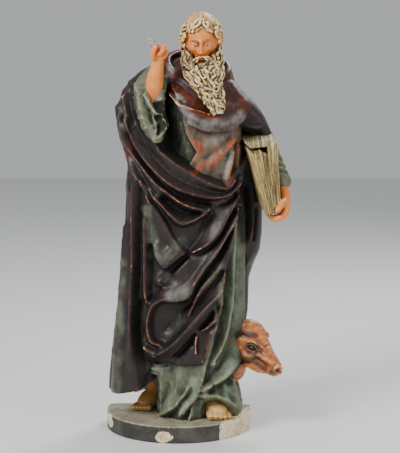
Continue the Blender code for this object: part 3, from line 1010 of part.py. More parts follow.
    def beardLock(name, turn0, z0, length, sway, waves, phase, hook, hand, radius, drift=0.0):
        path, radii = [], []
        for u, w, t in lockPath(length, sway, waves, phase, hook, hand):
            z = max(614.0, z0 - w)
            half = max(9.0, 0.5 * float(c.frame(z)[1] - c.frame(z)[0]))
            turn = turn0 * (1 - 0.2 * t) + (u + drift * w) / (6.3 * half)
            p = c.place(np.array(turn), np.array(z),
                0.6 + 1.8 * math.cos(2 * math.pi * waves * t + phase * 1.7) + 1.2 * t)
            path.append(tuple(p))
            radii.append(radius * (0.72 + 0.28 * math.sin(math.pi * min(0.5,
                t * 1.8))) * (1 - 0.6 * t ** 1.8))
        made.append(strand(name, "beard", path, radii, step=sizes["lock"], flat=0.66, grooves=0.5,
            ridges=2.5))
    rows = ((742, 0.72, 1.04, 2, 18), (731, 0.60, 1.0, 2, 20), (719, 0.56, 1.0, 2, 20),
        (707, 0.5, 1.0, 2, 22), (700, 0.0, 0.2, 2, 18), (694, 0.4, 1.0, 3, 22), (682, 0.3, 1.0, 3, 22),
            (669, 0.3, 1.0, 3, 20), (656, 0.2, 1.0, 2, 20), (645, 0.0, 1.0, 3, 18), (636, 0.0, 0.7, 2, 14))
    n = 0
    for r, (z0, u0, u1, count, length) in enumerate(rows):
        spots = np.linspace(-u1, u1, count) if u0 == 0 else np.concatenate([-np.linspace(u0, u1, count),
            np.linspace(u0, u1, count)])
        for j, u in enumerate(spots):
            k = 2.4 * j + 1.7 * r
            shift = (0.06 if r % 2 else -0.06) + 0.05 * math.sin(3.1 * k)
            beardLock("beard%d" % n, 0.235 * (u + shift), z0 + 3 * math.sin(k),
                length * (0.9 + 0.25 * math.sin(1.9 * k)), 4.6 + 1.4 * math.sin(2.7 * k),
                1.1 + 0.25 * math.sin(1.3 * k), k,
                      (2.8 + 0.7 * math.sin(1.1 * k)) if (j + r) % 3 else 1.6, 1 if (j + r) % 2 else -1, 3.7 if r > 1 else 3.4)
            n += 1
    # the long ends
    for j, (x, z0, length, hand) in enumerate(((0.02, 642, 20, 1), (0.12, 648, 20, -1),
        (-0.10, 652, 16, -1), (0.05, 636, 12, -1))):
        beardLock("end%d" % j, x, z0, length, 4.0, 1.2, 1.1 * j, 2.4, hand, 3.2, drift=0.15)
    # short locks growing from under the lower lip
    made.append(ball("chin", "skin", tuple(at(0, -38, 9)), (13, 9, 9), sub=3))
    for j in range(7):
        x = 2.6 * (j - 3)
        tuft = [at(x, -42.5 + 0.16 * x * x / 2.6, 16.5 + 0.05 * x * x),
            at(x * 1.2 + 0.8 * math.sin(2.3 * j), -47.5 + 0.08 * x * x, 9),
            at(x * 1.5 - 1.2 * math.sin(2.3 * j), -49, 1), at(x * 1.9, -52, -9),
            at(x * 2.2 + math.sin(j), -53, -17)]
        made.append(strand("tuft%d" % j, "beard", [tuple(p) for p in tuft], [1.0, 2.0, 2.6, 2.6, 1.2],
            step=sizes["lock"], grooves=0.45, ridges=2.5))
    for side in (-1, 1):
        for j in range(5):
            k = 1.9 * j + side
            pts = [at(side * (0.8 + 1.1 * j), -42.6 + 0.5 * j, 30.6 - 0.5 * j),
                at(side * (5.5 + 1.2 * j), -44.4 + 0.5 * j + math.sin(k), 29.6 - 2.3 * j),
                at(side * (11.0 + 1.4 * j), -41.2 + 0.7 * j, 27.6 - 3.4 * j + math.sin(k)),
                   at(side * (16.5 + 1.3 * j), -39.8 + math.sin(2 * k),
                       22.0 - 4.0 * j), at(side * (19.5 + 0.8 * j), -37.0,
                       15.0 - 4.2 * j), at(side * (17.0 + 1.6 * j), -40.4,
                       8.5 - 4.2 * j), at(side * (20.5 + 1.4 * j), -38.6, 3.5 - 4.2 * j)]
            made.append(strand("moustache%d_%d" % (side, j), "beard", [tuple(p) for p in pts],
                [0.9, 1.7, 2.1, 2.2, 2.1, 1.8, 0.8], step=sizes["lock"], grooves=0.45, ridges=2.5))


def buildAll():
    for fn in (tunic, cloak, fall, cape, habit, rightArm, leftArm, book, feet, ox, head):
        fn()


def evaluated(ob):
    """The object's mesh with its modifiers applied."""
    graph = bpy.context.evaluated_depsgraph_get()
    me = bpy.data.meshes.new_from_object(ob.evaluated_get(graph), depsgraph=graph)
    ob.modifiers.clear()
    ob.data = me
    return me


def fused(parts, name):
    """All parts as one closed body on an even grid; crumbs that touch nothing are dropped."""
    bm = bmesh.new()
    for part in parts:
        bm.from_mesh(part.data)
    me = bpy.data.meshes.new(name)
    bm.to_mesh(me)
    bm.free()
    ob = bpy.data.objects.new(name, me)
    bpy.context.scene.collection.objects.link(ob)
    for part in parts:
        bpy.data.objects.remove(part)
    fuse = ob.modifiers.new("fuse", "REMESH")
    fuse.mode = "VOXEL"
    fuse.voxel_size = clayGrain * mm
    me = evaluated(ob)
    bm = bmesh.new()
    bm.from_mesh(me)
    seen, bodies = set(), []
    for first in bm.verts:
        if first in seen:
            continue
        seen.add(first)
        stack, body = [first], []
        while stack:
            v = stack.pop()
            body.append(v)
            for e in v.link_edges:
                w = e.other_vert(v)
                if w not in seen:
                    seen.add(w)
                    stack.append(w)
        bodies.append(body)
    for body in sorted(bodies, key=len)[:-1]:
        bmesh.ops.delete(bm, geom=body, context="VERTS")
    bmesh.ops.triangulate(bm, faces=bm.faces)
    bm.to_mesh(me)
    bm.free()
    return ob


def thin(ob, budget):
    """Fewer triangles on broad cloth than on the head, the hands, the ox and the feet."""
    me = ob.data
    p = np.array([v.co for v in me.vertices]) / mm
    x, y, z = p[:, 0], p[:, 1], p[:, 2]
    share = np.full(len(p), 0.75)
    share[y > 25] = 1.0
    share[(z > 612) & (x > -20) & (x < 100) & (y < 45)] = 0.50
    share[(z > 690) & (x < -12)] = 0.38
    share[(x > 150) & (z > 400) & (z < 500)] = 0.50
    share[(x > 118) & (z > 90) & (z < 232)] = 0.60
    share[(z < 62) & (y < 40)] = 0.60
    group = ob.vertex_groups.new(name="share")
    for value in np.unique(share):
        group.add([int(i) for i in np.nonzero(share == value)[0]], float(value), "REPLACE")
    fewer = ob.modifiers.new("fewer", "DECIMATE")
    fewer.ratio = budget / len(me.polygons)
    fewer.vertex_group = "share"
    fewer.vertex_group_factor = 1.0
    evaluated(ob)


buildAll()
statue = fused(made, "statue")
thin(statue, triangleBudget)
slab = base()
join = statue.modifiers.new("base", "BOOLEAN")
join.operation = "UNION"
join.object = slab
evaluated(statue)
bpy.data.objects.remove(slab)

clay = bpy.data.materials.new("paintedTerracotta")
clay.use_nodes = True
shader = clay.node_tree.nodes["Principled BSDF"]
shader.inputs["Base Color"].default_value = clayColour
shader.inputs["Roughness"].default_value = clayRoughness
shader.inputs["Metallic"].default_value = 0.0
statue.data.materials.clear()
statue.data.materials.append(clay)
statue.data.shade_smooth()
statue.data.set_sharp_from_angle(angle=math.radians(40))
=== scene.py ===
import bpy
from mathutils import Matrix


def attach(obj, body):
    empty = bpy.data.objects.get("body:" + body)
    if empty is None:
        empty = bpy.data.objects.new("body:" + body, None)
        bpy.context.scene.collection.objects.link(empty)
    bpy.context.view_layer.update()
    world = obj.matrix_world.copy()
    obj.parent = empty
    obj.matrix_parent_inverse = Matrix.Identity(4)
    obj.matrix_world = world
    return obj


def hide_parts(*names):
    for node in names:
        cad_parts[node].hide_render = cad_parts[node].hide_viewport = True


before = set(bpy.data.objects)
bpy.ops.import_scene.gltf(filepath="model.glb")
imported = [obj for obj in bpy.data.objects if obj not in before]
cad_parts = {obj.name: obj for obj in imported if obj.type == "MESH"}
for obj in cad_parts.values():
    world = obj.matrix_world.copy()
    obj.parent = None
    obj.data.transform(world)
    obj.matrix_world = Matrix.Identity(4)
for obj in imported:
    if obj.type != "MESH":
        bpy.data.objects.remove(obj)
# Saint with a book and an ox, painted terracotta, modelled and fired as one piece on a half-round base.
# Millimetres inside the functions, turned to metres by mm. X to the figure's left, -Y to its front, +Z up.
import math
import time

import bmesh
import bpy
import numpy as np
from mathutils import Matrix, Vector
from mathutils.bvhtree import BVHTree

began = time.time()
mm = 0.001
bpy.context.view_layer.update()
made, crests, pupils = [], [], []


def curveThrough(points, step=1.0):
    # Catmull-Rom through the points, sampled about every step
    p = np.array(points, float)
    if len(p) == 2:
        n = max(2, int(np.linalg.norm(p[1] - p[0]) / step))
        return p[0] + (p[1] - p[0]) * np.linspace(0, 1, n)[:, None]
    q = np.vstack([2 * p[0] - p[1], p, 2 * p[-1] - p[-2]])
    out = []
    for i in range(1, len(q) - 2):
        n = max(2, int(np.linalg.norm(q[i + 1] - q[i]) / step))
        t = np.linspace(0, 1, n, endpoint=False)[:, None]
        a, b, c, d = q[i - 1], q[i], q[i + 1], q[i + 2]
        out.append(0.5 * (2 * b + (c - a) * t + (2 * a - 5 * b + 4 * c - d) * t * t
            + (3 * b - a - 3 * c + d) * t ** 3))
    return np.vstack(out + [q[-2:-1]])


def between(table, z, blur):
    # columns of a station table read at z, with the corners eased over blur
    t = np.array(table, float)
    z = np.asarray(z, float)
    total = 0
    for shift, weight in ((-1, 1), (-0.5, 2), (0, 3), (0.5, 2), (1, 1)):
        total = total + weight * np.stack([np.interp(z + shift * blur, t[:, 0], t[:, i])
            for i in range(1, t.shape[1])], -1)
    return total / 9


def ease(x):
    x = np.clip(x, 0, 1)
    return x * x * (3 - 2 * x)


def neighbours(f):
    # the four cells round each one added up, on a grid that wraps sideways
    return np.vstack([f[:1], f[:-1]]) + np.vstack([f[1:], f[-1:]]) + np.roll(f, 1, 1) + np.roll(f, -1, 1)


def solveField(high, wide, strokes, blur):
    # heights between strokes of row, turn and height, relaxed from a coarse grid to a fine one
    f, rounds = None, 70
    for step in (16, 8, 4, 2, 1):
        h, w = max(6, high // step), max(12, wide // step)
        total, count = np.zeros((h, w)), np.zeros((h, w))
        for s in strokes:
            r, c = np.clip(s[:, 0], 0, 1) * (h - 1), s[:, 1] * w
            r0, c0 = np.minimum(r.astype(int), h - 2), np.floor(c).astype(int)
            fr, fc = r - r0, c - c0
            for dr, dc, k in ((0, 0, (1 - fr) * (1 - fc)), (1, 0, fr * (1 - fc)), (0, 1, (1 - fr) * fc),
                (1, 1, fr * fc)):
                np.add.at(total, (r0 + dr, (c0 + dc) % w), s[:, 2] * k)
                np.add.at(count, (r0 + dr, (c0 + dc) % w), k)
        value = total / np.maximum(count, 1e-6)
        # a stroke holds its cells, more firmly where two cross
        pull = np.minimum(count, 1.5) * 3.0
        if f is None:
            f = np.full((h, w), total.sum() / count.sum())
        else:
            f = readField(f, np.linspace(0, 1, h)[:, None] * np.ones((1, w)),
                np.ones((h, 1)) * np.arange(w)[None] / w)
        for _ in range(rounds):
            g = neighbours(f) / 4
            f = (g + pull * value) / (1 + pull)
    for _ in range(blur):
        f = (neighbours(f) + 2 * f) / 6
    return f


def readField(f, row, turn):
    h, w = f.shape
    r = np.clip(row, 0, 1) * (h - 1)
    c = np.mod(turn, 1.0) * w
    r0 = np.clip(np.floor(r).astype(int), 0, h - 2)
    c0 = np.floor(c).astype(int)
    fr, fc = r - r0, c - c0
    a, b = c0 % w, (c0 + 1) % w
    return (f[r0, a] * (1 - fr) * (1 - fc) + f[r0 + 1, a] * fr * (1 - fc) + f[r0, b] * (1 - fr) * fc
        + f[r0 + 1, b] * fr * fc)


class Column:
    # an upright form from stations of z, left, right, front, back, widest y, front power and back power;
    # turn 0 is the front, and the folds lie in a grid of heights with square cells
    def __init__(self, stations, blur=8.0, gain=1.0):
        cell = 1.6
        self.stations, self.blur, self.gain = stations, blur, gain
        z = [s[0] for s in stations]
        self.low, self.high = min(z), max(z)
        self.rows = int((self.high - self.low) / cell) + 2
        mid = between(stations, 0.5 * (self.low + self.high), blur)
        self.around = int(math.pi * 1.15 * ((mid[1] - mid[0]) / 2 + (mid[3] - mid[2]) / 2) / cell)
        self.strokes = []
        self.field = None

    def frame(self, z):
        v = between(self.stations, z, self.blur)
        return [v[..., i] for i in range(7)]

    def turnOf(self, x, z):
        left, right, _, _, _, power, _ = self.frame(z)
        s = np.clip((x - (left + right) / 2) / ((right - left) / 2), -0.9995, 0.9995)
        return np.mod(np.arcsin(np.sign(s) * np.abs(s) ** (power / 2)) / (2 * math.pi), 1.0)

    def line(self, height, places):
        # the curve through u, z, u, z ... with its height, which may change from place to place
        p = np.array(places, float).reshape(-1, 2)
        return curveThrough(np.column_stack([p, np.broadcast_to(height, len(p))]))

    def stroke(self, turn, c):
        self.strokes.append(np.stack([(c[:, 1] - self.low) / (self.high - self.low), turn, c[:, 2]], -1))

    def fold(self, height, *places):
        # a crest or, below 0, a valley through x, z, x, z ... as seen from the front
        c = self.line(height, places)
        c = c[(c[:, 1] >= self.low) & (c[:, 1] <= self.high)]
        if c[:, 2].max() >= 5:
            crests.append(c[:, :2])
        self.stroke(self.turnOf(c[:, 0], c[:, 1]), c)

    def ledge(self, high, low, gap, *places):
        # a crest with a valley beside it, gap to the left of the way it is drawn (negative: to the right)
        self.fold(high, *places)
        p = np.array(places, float).reshape(-1, 2)
        way = np.gradient(p, axis=0)
        way /= np.linalg.norm(way, axis=1)[:, None]
        self.fold(low, *(p + np.stack([-way[:, 1], way[:, 0]], -1) * gap).ravel())

    def pleat(self, height, *places):
        # the same through degrees round from the front, z, degrees, z ...
        c = self.line(height, places)
        self.stroke(np.mod(c[:, 0] / 360, 1.0), c)

    def solve(self, blur=1):
        self.field = solveField(self.rows, self.around, self.strokes, blur) * self.gain

    def place(self, turn, z, extra=0.0):
        left, right, front, rear, wide, pf, pb = self.frame(z)
        a = turn * 2 * math.pi
        s, c = np.sin(a), np.cos(a)
        p = np.where(c >= 0, pf, pb)
        b = np.where(c >= 0, wide - front, rear - wide)
        hw = (right - left) / 2
        ux = np.sign(s) * np.abs(s) ** (2 / p)
        uy = -np.sign(c) * np.abs(c) ** (2 / p)
        nx = np.sign(s) * np.abs(ux) ** (p - 1) / hw
        ny = np.sign(uy) * np.abs(uy) ** (p - 1) / b
        n = np.hypot(nx, ny) + 1e-9
        d = extra
        if self.field is not None:
            d = d + readField(self.field, (z - self.low) / (self.high - self.low), turn)
        x = (left + right) / 2 + hw * ux + d * nx / n
        y = wide + b * uy + d * ny / n
        return np.stack([x, y, z * np.ones_like(x)], -1)


def gridMesh(rows, wide, bottom=None, top=None):
    # bmesh of a closed tube: rows is (n, wide, 3); each end drawn together to a point
    n = len(rows)
    bottom = rows[0].mean(0) if bottom is None else np.array(bottom, float)
    top = rows[-1].mean(0) if top is None else np.array(top, float)
    every = np.concatenate([np.broadcast_to(bottom, (1, wide, 3)), rows,
        np.broadcast_to(top, (1, wide, 3))])
    every = np.concatenate([every, every[:, :1]], 1)
    bm = bmesh.new()
    bmesh.ops.create_grid(bm, x_segments=wide, y_segments=n + 1, size=1)
    for v in bm.verts:
        i = int(round((v.co.x + 1) / 2 * wide))
        j = int(round((v.co.y + 1) / 2 * (n + 1)))
        v.co = Vector(every[j, i]) * mm
    bmesh.ops.remove_doubles(bm, verts=bm.verts, dist=1e-6)
    bmesh.ops.recalc_face_normals(bm, faces=bm.faces)
    return bm


def read(items, what, wide, kind=float):
    # one number or vector of every vertex, edge or face as rows
    flat = np.empty(len(items) * wide, dtype=kind)
    items.foreach_get(what, flat)
    return flat.reshape(-1, wide)


def meshOf(bm, name):
    me = bpy.data.meshes.new(name)
    bm.to_mesh(me)
    bm.free()
    return me


def linked(name, data):
    ob = bpy.data.objects.new(name, data)
    bpy.context.scene.collection.objects.link(ob)
    return ob


def put(bm, name, slot):
    ob = linked(name, meshOf(bm, name))
    ob["slot"] = slot
    made.append(ob)
    return ob


def signed(turn):
    # turns from -0.5 to 0.5, 0 at the front
    return np.where(turn > 0.5, turn - 1, turn)


def rimOf(column, places, before, after):
    # height of a rim all round: x, z places on the front, with (turn, z) places before and after them
    x, z = np.array(places, float).reshape(-1, 2).T
    fore, aft = np.array(before, float).reshape(-1, 2).T, np.array(after, float).reshape(-1, 2).T
    turns = np.concatenate([fore[0], signed(column.turnOf(x, z)), aft[0]])
    return lambda turn: np.interp(signed(turn), turns, np.concatenate([fore[1], z, aft[1]]))


def drawnIn(size, gap):
    # how far a rounded edge of this size draws in, gap away from its end
    e = np.clip((size - gap) / size, 0, 1)
    return size * (1 - np.sqrt(1 - e * e * 0.98))


def columnBody(name, slot, column, low, high, size, extra=None, rim=0.0, foot=0.0, top=None, bottom=None):
    # closed body from a column between low(turn) and high(turn)
    wide, tall = size
    turn = np.arange(wide) / wide
    lo = low(turn) if callable(low) else np.full(wide, float(low))
    hi = high(turn) if callable(high) else np.full(wide, float(high))
    z = np.clip(np.linspace(lo.min(), hi.max(), tall)[:, None], lo[None], hi[None])
    tt = np.broadcast_to(turn[None], z.shape)
    d = np.zeros_like(z)
    if rim:
        d = d - drawnIn(rim, hi[None] - z)
    if foot:
        d = d - drawnIn(foot, z - lo[None])
    if extra is not None:
        d = d + extra(tt, z)
    rows = column.place(tt, z, d)
    return put(gridMesh(rows, wide, bottom, top), name, slot)


def wayOf(p):
    # unit directions along a line of points
    way = np.gradient(p, axis=0)
    return way / (np.linalg.norm(way, axis=1)[:, None] + 1e-9)


def tube(name, slot, path, radii, around=24, step=4.0, squash=1.0, up=(0, 0, 1), wave=None):
    # closed tapered tube through points; radii is a list as long as the path
    pts = np.array([list(p) + [r] for p, r in zip(path, radii)], float)
    c = curveThrough(pts, step)
    p, r = c[:, :3], np.maximum(c[:, 3], 0.05)
    tangent = wayOf(p)
    upv = np.array(up, float)
    side = np.cross(tangent, upv)
    side /= np.linalg.norm(side, axis=1)[:, None] + 1e-9
    other = np.cross(side, tangent)
    a = np.arange(around) / around * 2 * math.pi
    rr = r[:, None] * np.ones((1, around))
    if wave is not None:
        rr = rr * wave(a[None], np.linspace(0, 1, len(r))[:, None])
    rows = p[:, None] + rr[..., None] * (np.cos(a)[None, :, None] * side[:, None] * squash
        + np.sin(a)[None, :, None] * other[:, None])
    return put(gridMesh(rows, around, p[0] - tangent[0] * r[0] * 0.5, p[-1] + tangent[-1] * r[-1] * 0.5),
        name, slot)


def strand(name, slot, path, radii, around=20, step=2.0, flat=0.72, grooves=0.30, face=(0, -1, 0),
    ridges=3.5):
    # a lock of hair: a tapered tube whose frame is carried along without twisting
    c = curveThrough([list(p) + [r] for p, r in zip(path, radii)], step)
    p, r = c[:, :3], np.maximum(c[:, 3], 0.2)
    way = wayOf(p)
    n = np.array(face, float)
    rows = []
    a = np.arange(around) / around * 2 * math.pi
    for i in range(len(p)):
        n = n - way[i] * n.dot(way[i])
        n /= np.linalg.norm(n) + 1e-9
        b = np.cross(way[i], n)
        bump = 1 - grooves * (1 - np.abs(np.cos(ridges * (a + 0.035 * i))) ** 0.8)
        rows.append(p[i] + r[i] * bump[:, None] * (np.cos(a)[:, None] * n * flat + np.sin(a)[:, None] * b))
    rows = np.array(rows)
    return put(gridMesh(rows, around, p[0] - way[0] * r[0] * 0.4, p[-1] + way[-1] * r[-1] * 0.6), name,
        slot)


def lockPath(length, sway, waves, phase, hook, hand, steps=12):
    # (sideways, down, share of the length) for a waving lock that ends in a small hook
    out = []
    for i in range(steps + 1):
        t = i / steps
        out.append((sway * (0.35 + 0.65 * t) * math.sin(2 * math.pi * waves * t + phase)
            - sway * 0.35 * math.sin(phase), length * t, t * 0.75))
    (u0, w0, _), (u1, w1, _) = out[-2], out[-1]
    a0 = math.atan2(w1 - w0, u1 - u0)
    u, w = u1, w1
    for i in range(1, 8):
        t = i / 7
        a = a0 + hand * t * 4.6
        stepLength = hook * (1 - 0.55 * t)
        u, w = u + stepLength * math.cos(a), w + stepLength * math.sin(a)
        out.append((u, w, 0.75 + 0.25 * t))
    return out


def roundBlank(sub):
    bm = bmesh.new()
    bmesh.ops.create_icosphere(bm, subdivisions=sub, radius=1.0)
    return bm


def ball(name, slot, centre, radii, turnBy=(0, 0, 0), sub=4):
    bm = roundBlank(sub)
    x, y, z = (Matrix.Rotation(math.radians(angle), 3, axis) for angle, axis in zip(turnBy, "XYZ"))
    for v in bm.verts:
        place = Vector((v.co.x * radii[0], v.co.y * radii[1], v.co.z * radii[2]))
        v.co = (Vector(centre) + z @ y @ x @ place) * mm
    return put(bm, name, slot)


def press(ob, marks):
    # pushes the surface out or in round chosen places; a mark is (its places, reach, height)
    me = ob.data
    p, normal = read(me.vertices, "co", 3) / mm, read(me.vertices, "normal", 3)
    move = np.zeros(len(p))
    for place, reach, height in marks:
        line = np.array(place, float).reshape(-1, 3)
        if len(line) > 1:
            line = curveThrough([list(q) for q in line], 1.5)
        far = np.full(len(p), 1e9)
        for q in line:
            far = np.minimum(far, ((p - q) ** 2).sum(1))
        move += height * np.exp(-far / reach ** 2)
    me.vertices.foreach_set("co", ((p + normal * move[:, None]) * mm).ravel())
    me.update()
    return ob


def wrinkles(u, v, seed):
    # small creases crossing each other, 0 to about 1; u and v count creases
    out = 0
    for k in range(4):
        a = 2.1 * seed + 0.55 * (k - 1.5)
        p, q = u * math.cos(a) + v * math.sin(a), v * math.cos(a) - u * math.sin(a)
        ridge = 1 - np.abs(np.sin(math.pi
            * (p + 0.45 * np.sin(2.1 * q + k) + 0.3 * np.sin(1.3 * p + 3.7 * q + seed))))
        out = out + ridge ** 4 * (0.5 + 0.5 * np.sin(1.7 * q + 0.9 * p + 2 * k + seed)) / (1 + 0.5 * k)
    return out * 0.6


sizes = dict(tunic=(420, 400), cloak=(640, 560), fall=(200, 340), cape=(420, 150), habit=(280, 150),
    sleeve=(220, 140), book=30, head=6, lock=1.2, beard=(420, 200))


def curveX(table):
    # x as a function of z from an edge read top to bottom
    t = np.array(sorted([(z, x) for x, z in table]), float)
    return lambda z: np.interp(z, t[:, 0], t[:, 1])


def base():
    c = Column([(-8, -139, 139, -86, 86, 46, 2.0, 9.0), (40, -139, 139, -86, 86, 46, 2.0, 9.0)], blur=1)

    def uneven(turn, z):
        return 0.5 * wrinkles(turn * 26, z / 9, 2) - 0.2

    columnBody("base", "base", c, -8, 32, (220, 24), uneven, rim=2.0)
    groundRelief(c)


def groundRelief(slab):
    # low uneven skin of ground over the flat top
    turn = np.arange(200) / 200
    rim = slab.place(turn, np.full(200, 32.0), -2.0)
    rows = []
    for k in range(60):
        share = (k + 1) / 60
        p = rim * share
        x, y = p[:, 0], p[:, 1]
        p[:, 2] = 31.6 + (0.8 + 0.6 * np.sin(x / 9 + 1.3 * np.sin(y / 14)) * np.sin(y / 8 + np.sin(x / 17))
            + 0.3 * np.sin(x / 3.1 + y / 4.3)) * min(1.0, (1 - share) * 10)
        rows.append(p)
    rows.append(rows[-1] * [1, 1, 0.6])
    put(gridMesh(np.array(rows), 200, (0, 0, 32.2), (0, 0, 19)), "groundRelief", "base")


def tunic():
    c = Column([(24, -42, 119, -52, 72, 14, 2.1, 2.8), (45, -40, 119, -52, 72, 12, 2.2, 2.8),
        (75, -38, 116, -50, 72, 8, 2.4, 2.8), (100, -42, 110, -48, 70, 8, 2.4, 2.6),
        (125, -56, 110, -47, 70, 8, 2.3, 2.6), (150, -58, 110, -42, 70, 8, 2.3, 2.6),
        (180, -62, 113, -38, 70, 8, 2.3, 2.6), (240, -70, 115, -36, 68, 8, 2.6, 2.6),
        (320, -72, 115, -36, 66, 6, 2.6, 2.5), (400, -70, 115, -36, 62, 6, 2.5, 2.5),
        (490, -60, 110, -34, 55, 4, 2.3, 2.5), (560, -20, 105, -38, 50, 4, 2.3, 2.4),
        (640, -20, 100, -34, 45, 4, 2.3, 2.4)], gain=1.4)
    # right strip
    c.fold(9, 117, 480, 119, 370, 118, 300, 119, 205, 113, 150, 88, 118, 40, 90)
    c.fold(7, 106, 440, 101, 330, 98, 250, 88, 190, 66, 140)
    c.fold(-6, 111, 460, 110, 330, 109, 250, 104, 190, 84, 140, 55, 108)
    c.fold(-7, 91, 400, 84, 300, 80, 220, 58, 150, 52, 120)
    c.fold(4, 72, 262, 70, 210, 54, 160, 44, 118)
    c.fold(-4, 100, 232, 96, 196, 84, 164, 70, 146)
    c.fold(11, 112, 158, 104, 140, 84, 120, 62, 104, 48, 96)
    c.fold(-6, 116, 132, 100, 112, 78, 98, 60, 88)
    # folds falling to the ground between the feet
    c.fold(6, 49, 160, 46, 102, 28, 72, 10, 46)
    c.fold(5, 66, 185, 52, 130, 40, 92, 24, 52)
    c.fold(-5, 58, 140, 44, 95, 30, 65, 14, 34)
    c.ledge(10, -3, 8, 18, 100, 12, 88, 2, 74, -12, 54, -30, 38)
    c.fold(-2, 24, 132, 20, 108, 8, 84, -8, 60)
    c.fold(2, 5, 150, 2, 110, -8, 84, -26, 58)
    c.fold(-4, -14, 140, -18, 110, -26, 82, -36, 56)
    c.fold(3, -30, 128, -32, 108, -34, 80, -36, 52)
    c.ledge(7, -4, 7, 40, 84, 30, 74, 14, 62, 4, 44)
    c.fold(6, 26, 60, 22, 46, 18, 30)
    c.fold(-3, 34, 54, 32, 42, 30, 28)
    # hem drawn back over the foot on the right
    c.fold(6, 42, 78, 56, 82, 74, 80, 94, 68, 112, 52)
    c.fold(-12, 48, 56, 50, 44, 50, 24)
    c.fold(-24, 62, 60, 64, 44, 64, 24)
    c.fold(-26, 78, 60, 80, 44, 80, 24)
    c.fold(-18, 94, 50, 96, 40, 96, 24)
    c.fold(7, 100, 112, 104, 90, 110, 66, 114, 44)
    c.fold(1, 88, 100, 94, 84, 104, 66)
    c.fold(-3, 112, 118, 115, 95, 117, 60, 118, 40)
    c.fold(-3, 62, 108, 72, 92, 84, 84)
    for deg, h in ((95, 4), (112, -5), (130, 5), (150, -5), (172, 5), (195, -5), (218, 5), (240, -5),
        (262, 4), (285, -3)):
        c.pleat(h, deg, 26, deg + 3, 160, deg, 320, deg, 480)
    c.solve(blur=2)

    def crumple(turn, z):
        # fine creases, strongest near the ground
        share = 0.35 + 0.65 * ease((190 - z) / 90)
        return share * (5.0 * wrinkles(turn * 30 + z / 90, z / 60, 1)
            + 2.6 * wrinkles(turn * 52, z / 26, 4) - 2.0)

    columnBody("tunic", "tunic", c, 24, 640, sizes["tunic"], crumple)
    bunches = (([(-53, -20, 130), (-46, -26, 129), (-36, -31, 129), (-20, -33, 132), (-10, -32, 138)],
        [2, 5, 6, 5, 2]), ([(-52, -18, 123), (-46, -23, 121), (-38, -27, 121), (-24, -29, 125),
        (-14, -28, 131)], [2, 4, 4.5, 3.5, 1.5]),
        ([(-48, -26, 138), (-38, -31, 136), (-24, -33, 140)], [2, 4, 2]))
    for j, (path, radii) in enumerate(bunches):
        strand("bunch%d" % j, "tunic", path, radii, around=20, step=2.5, flat=0.9, grooves=0.12, ridges=1.5)


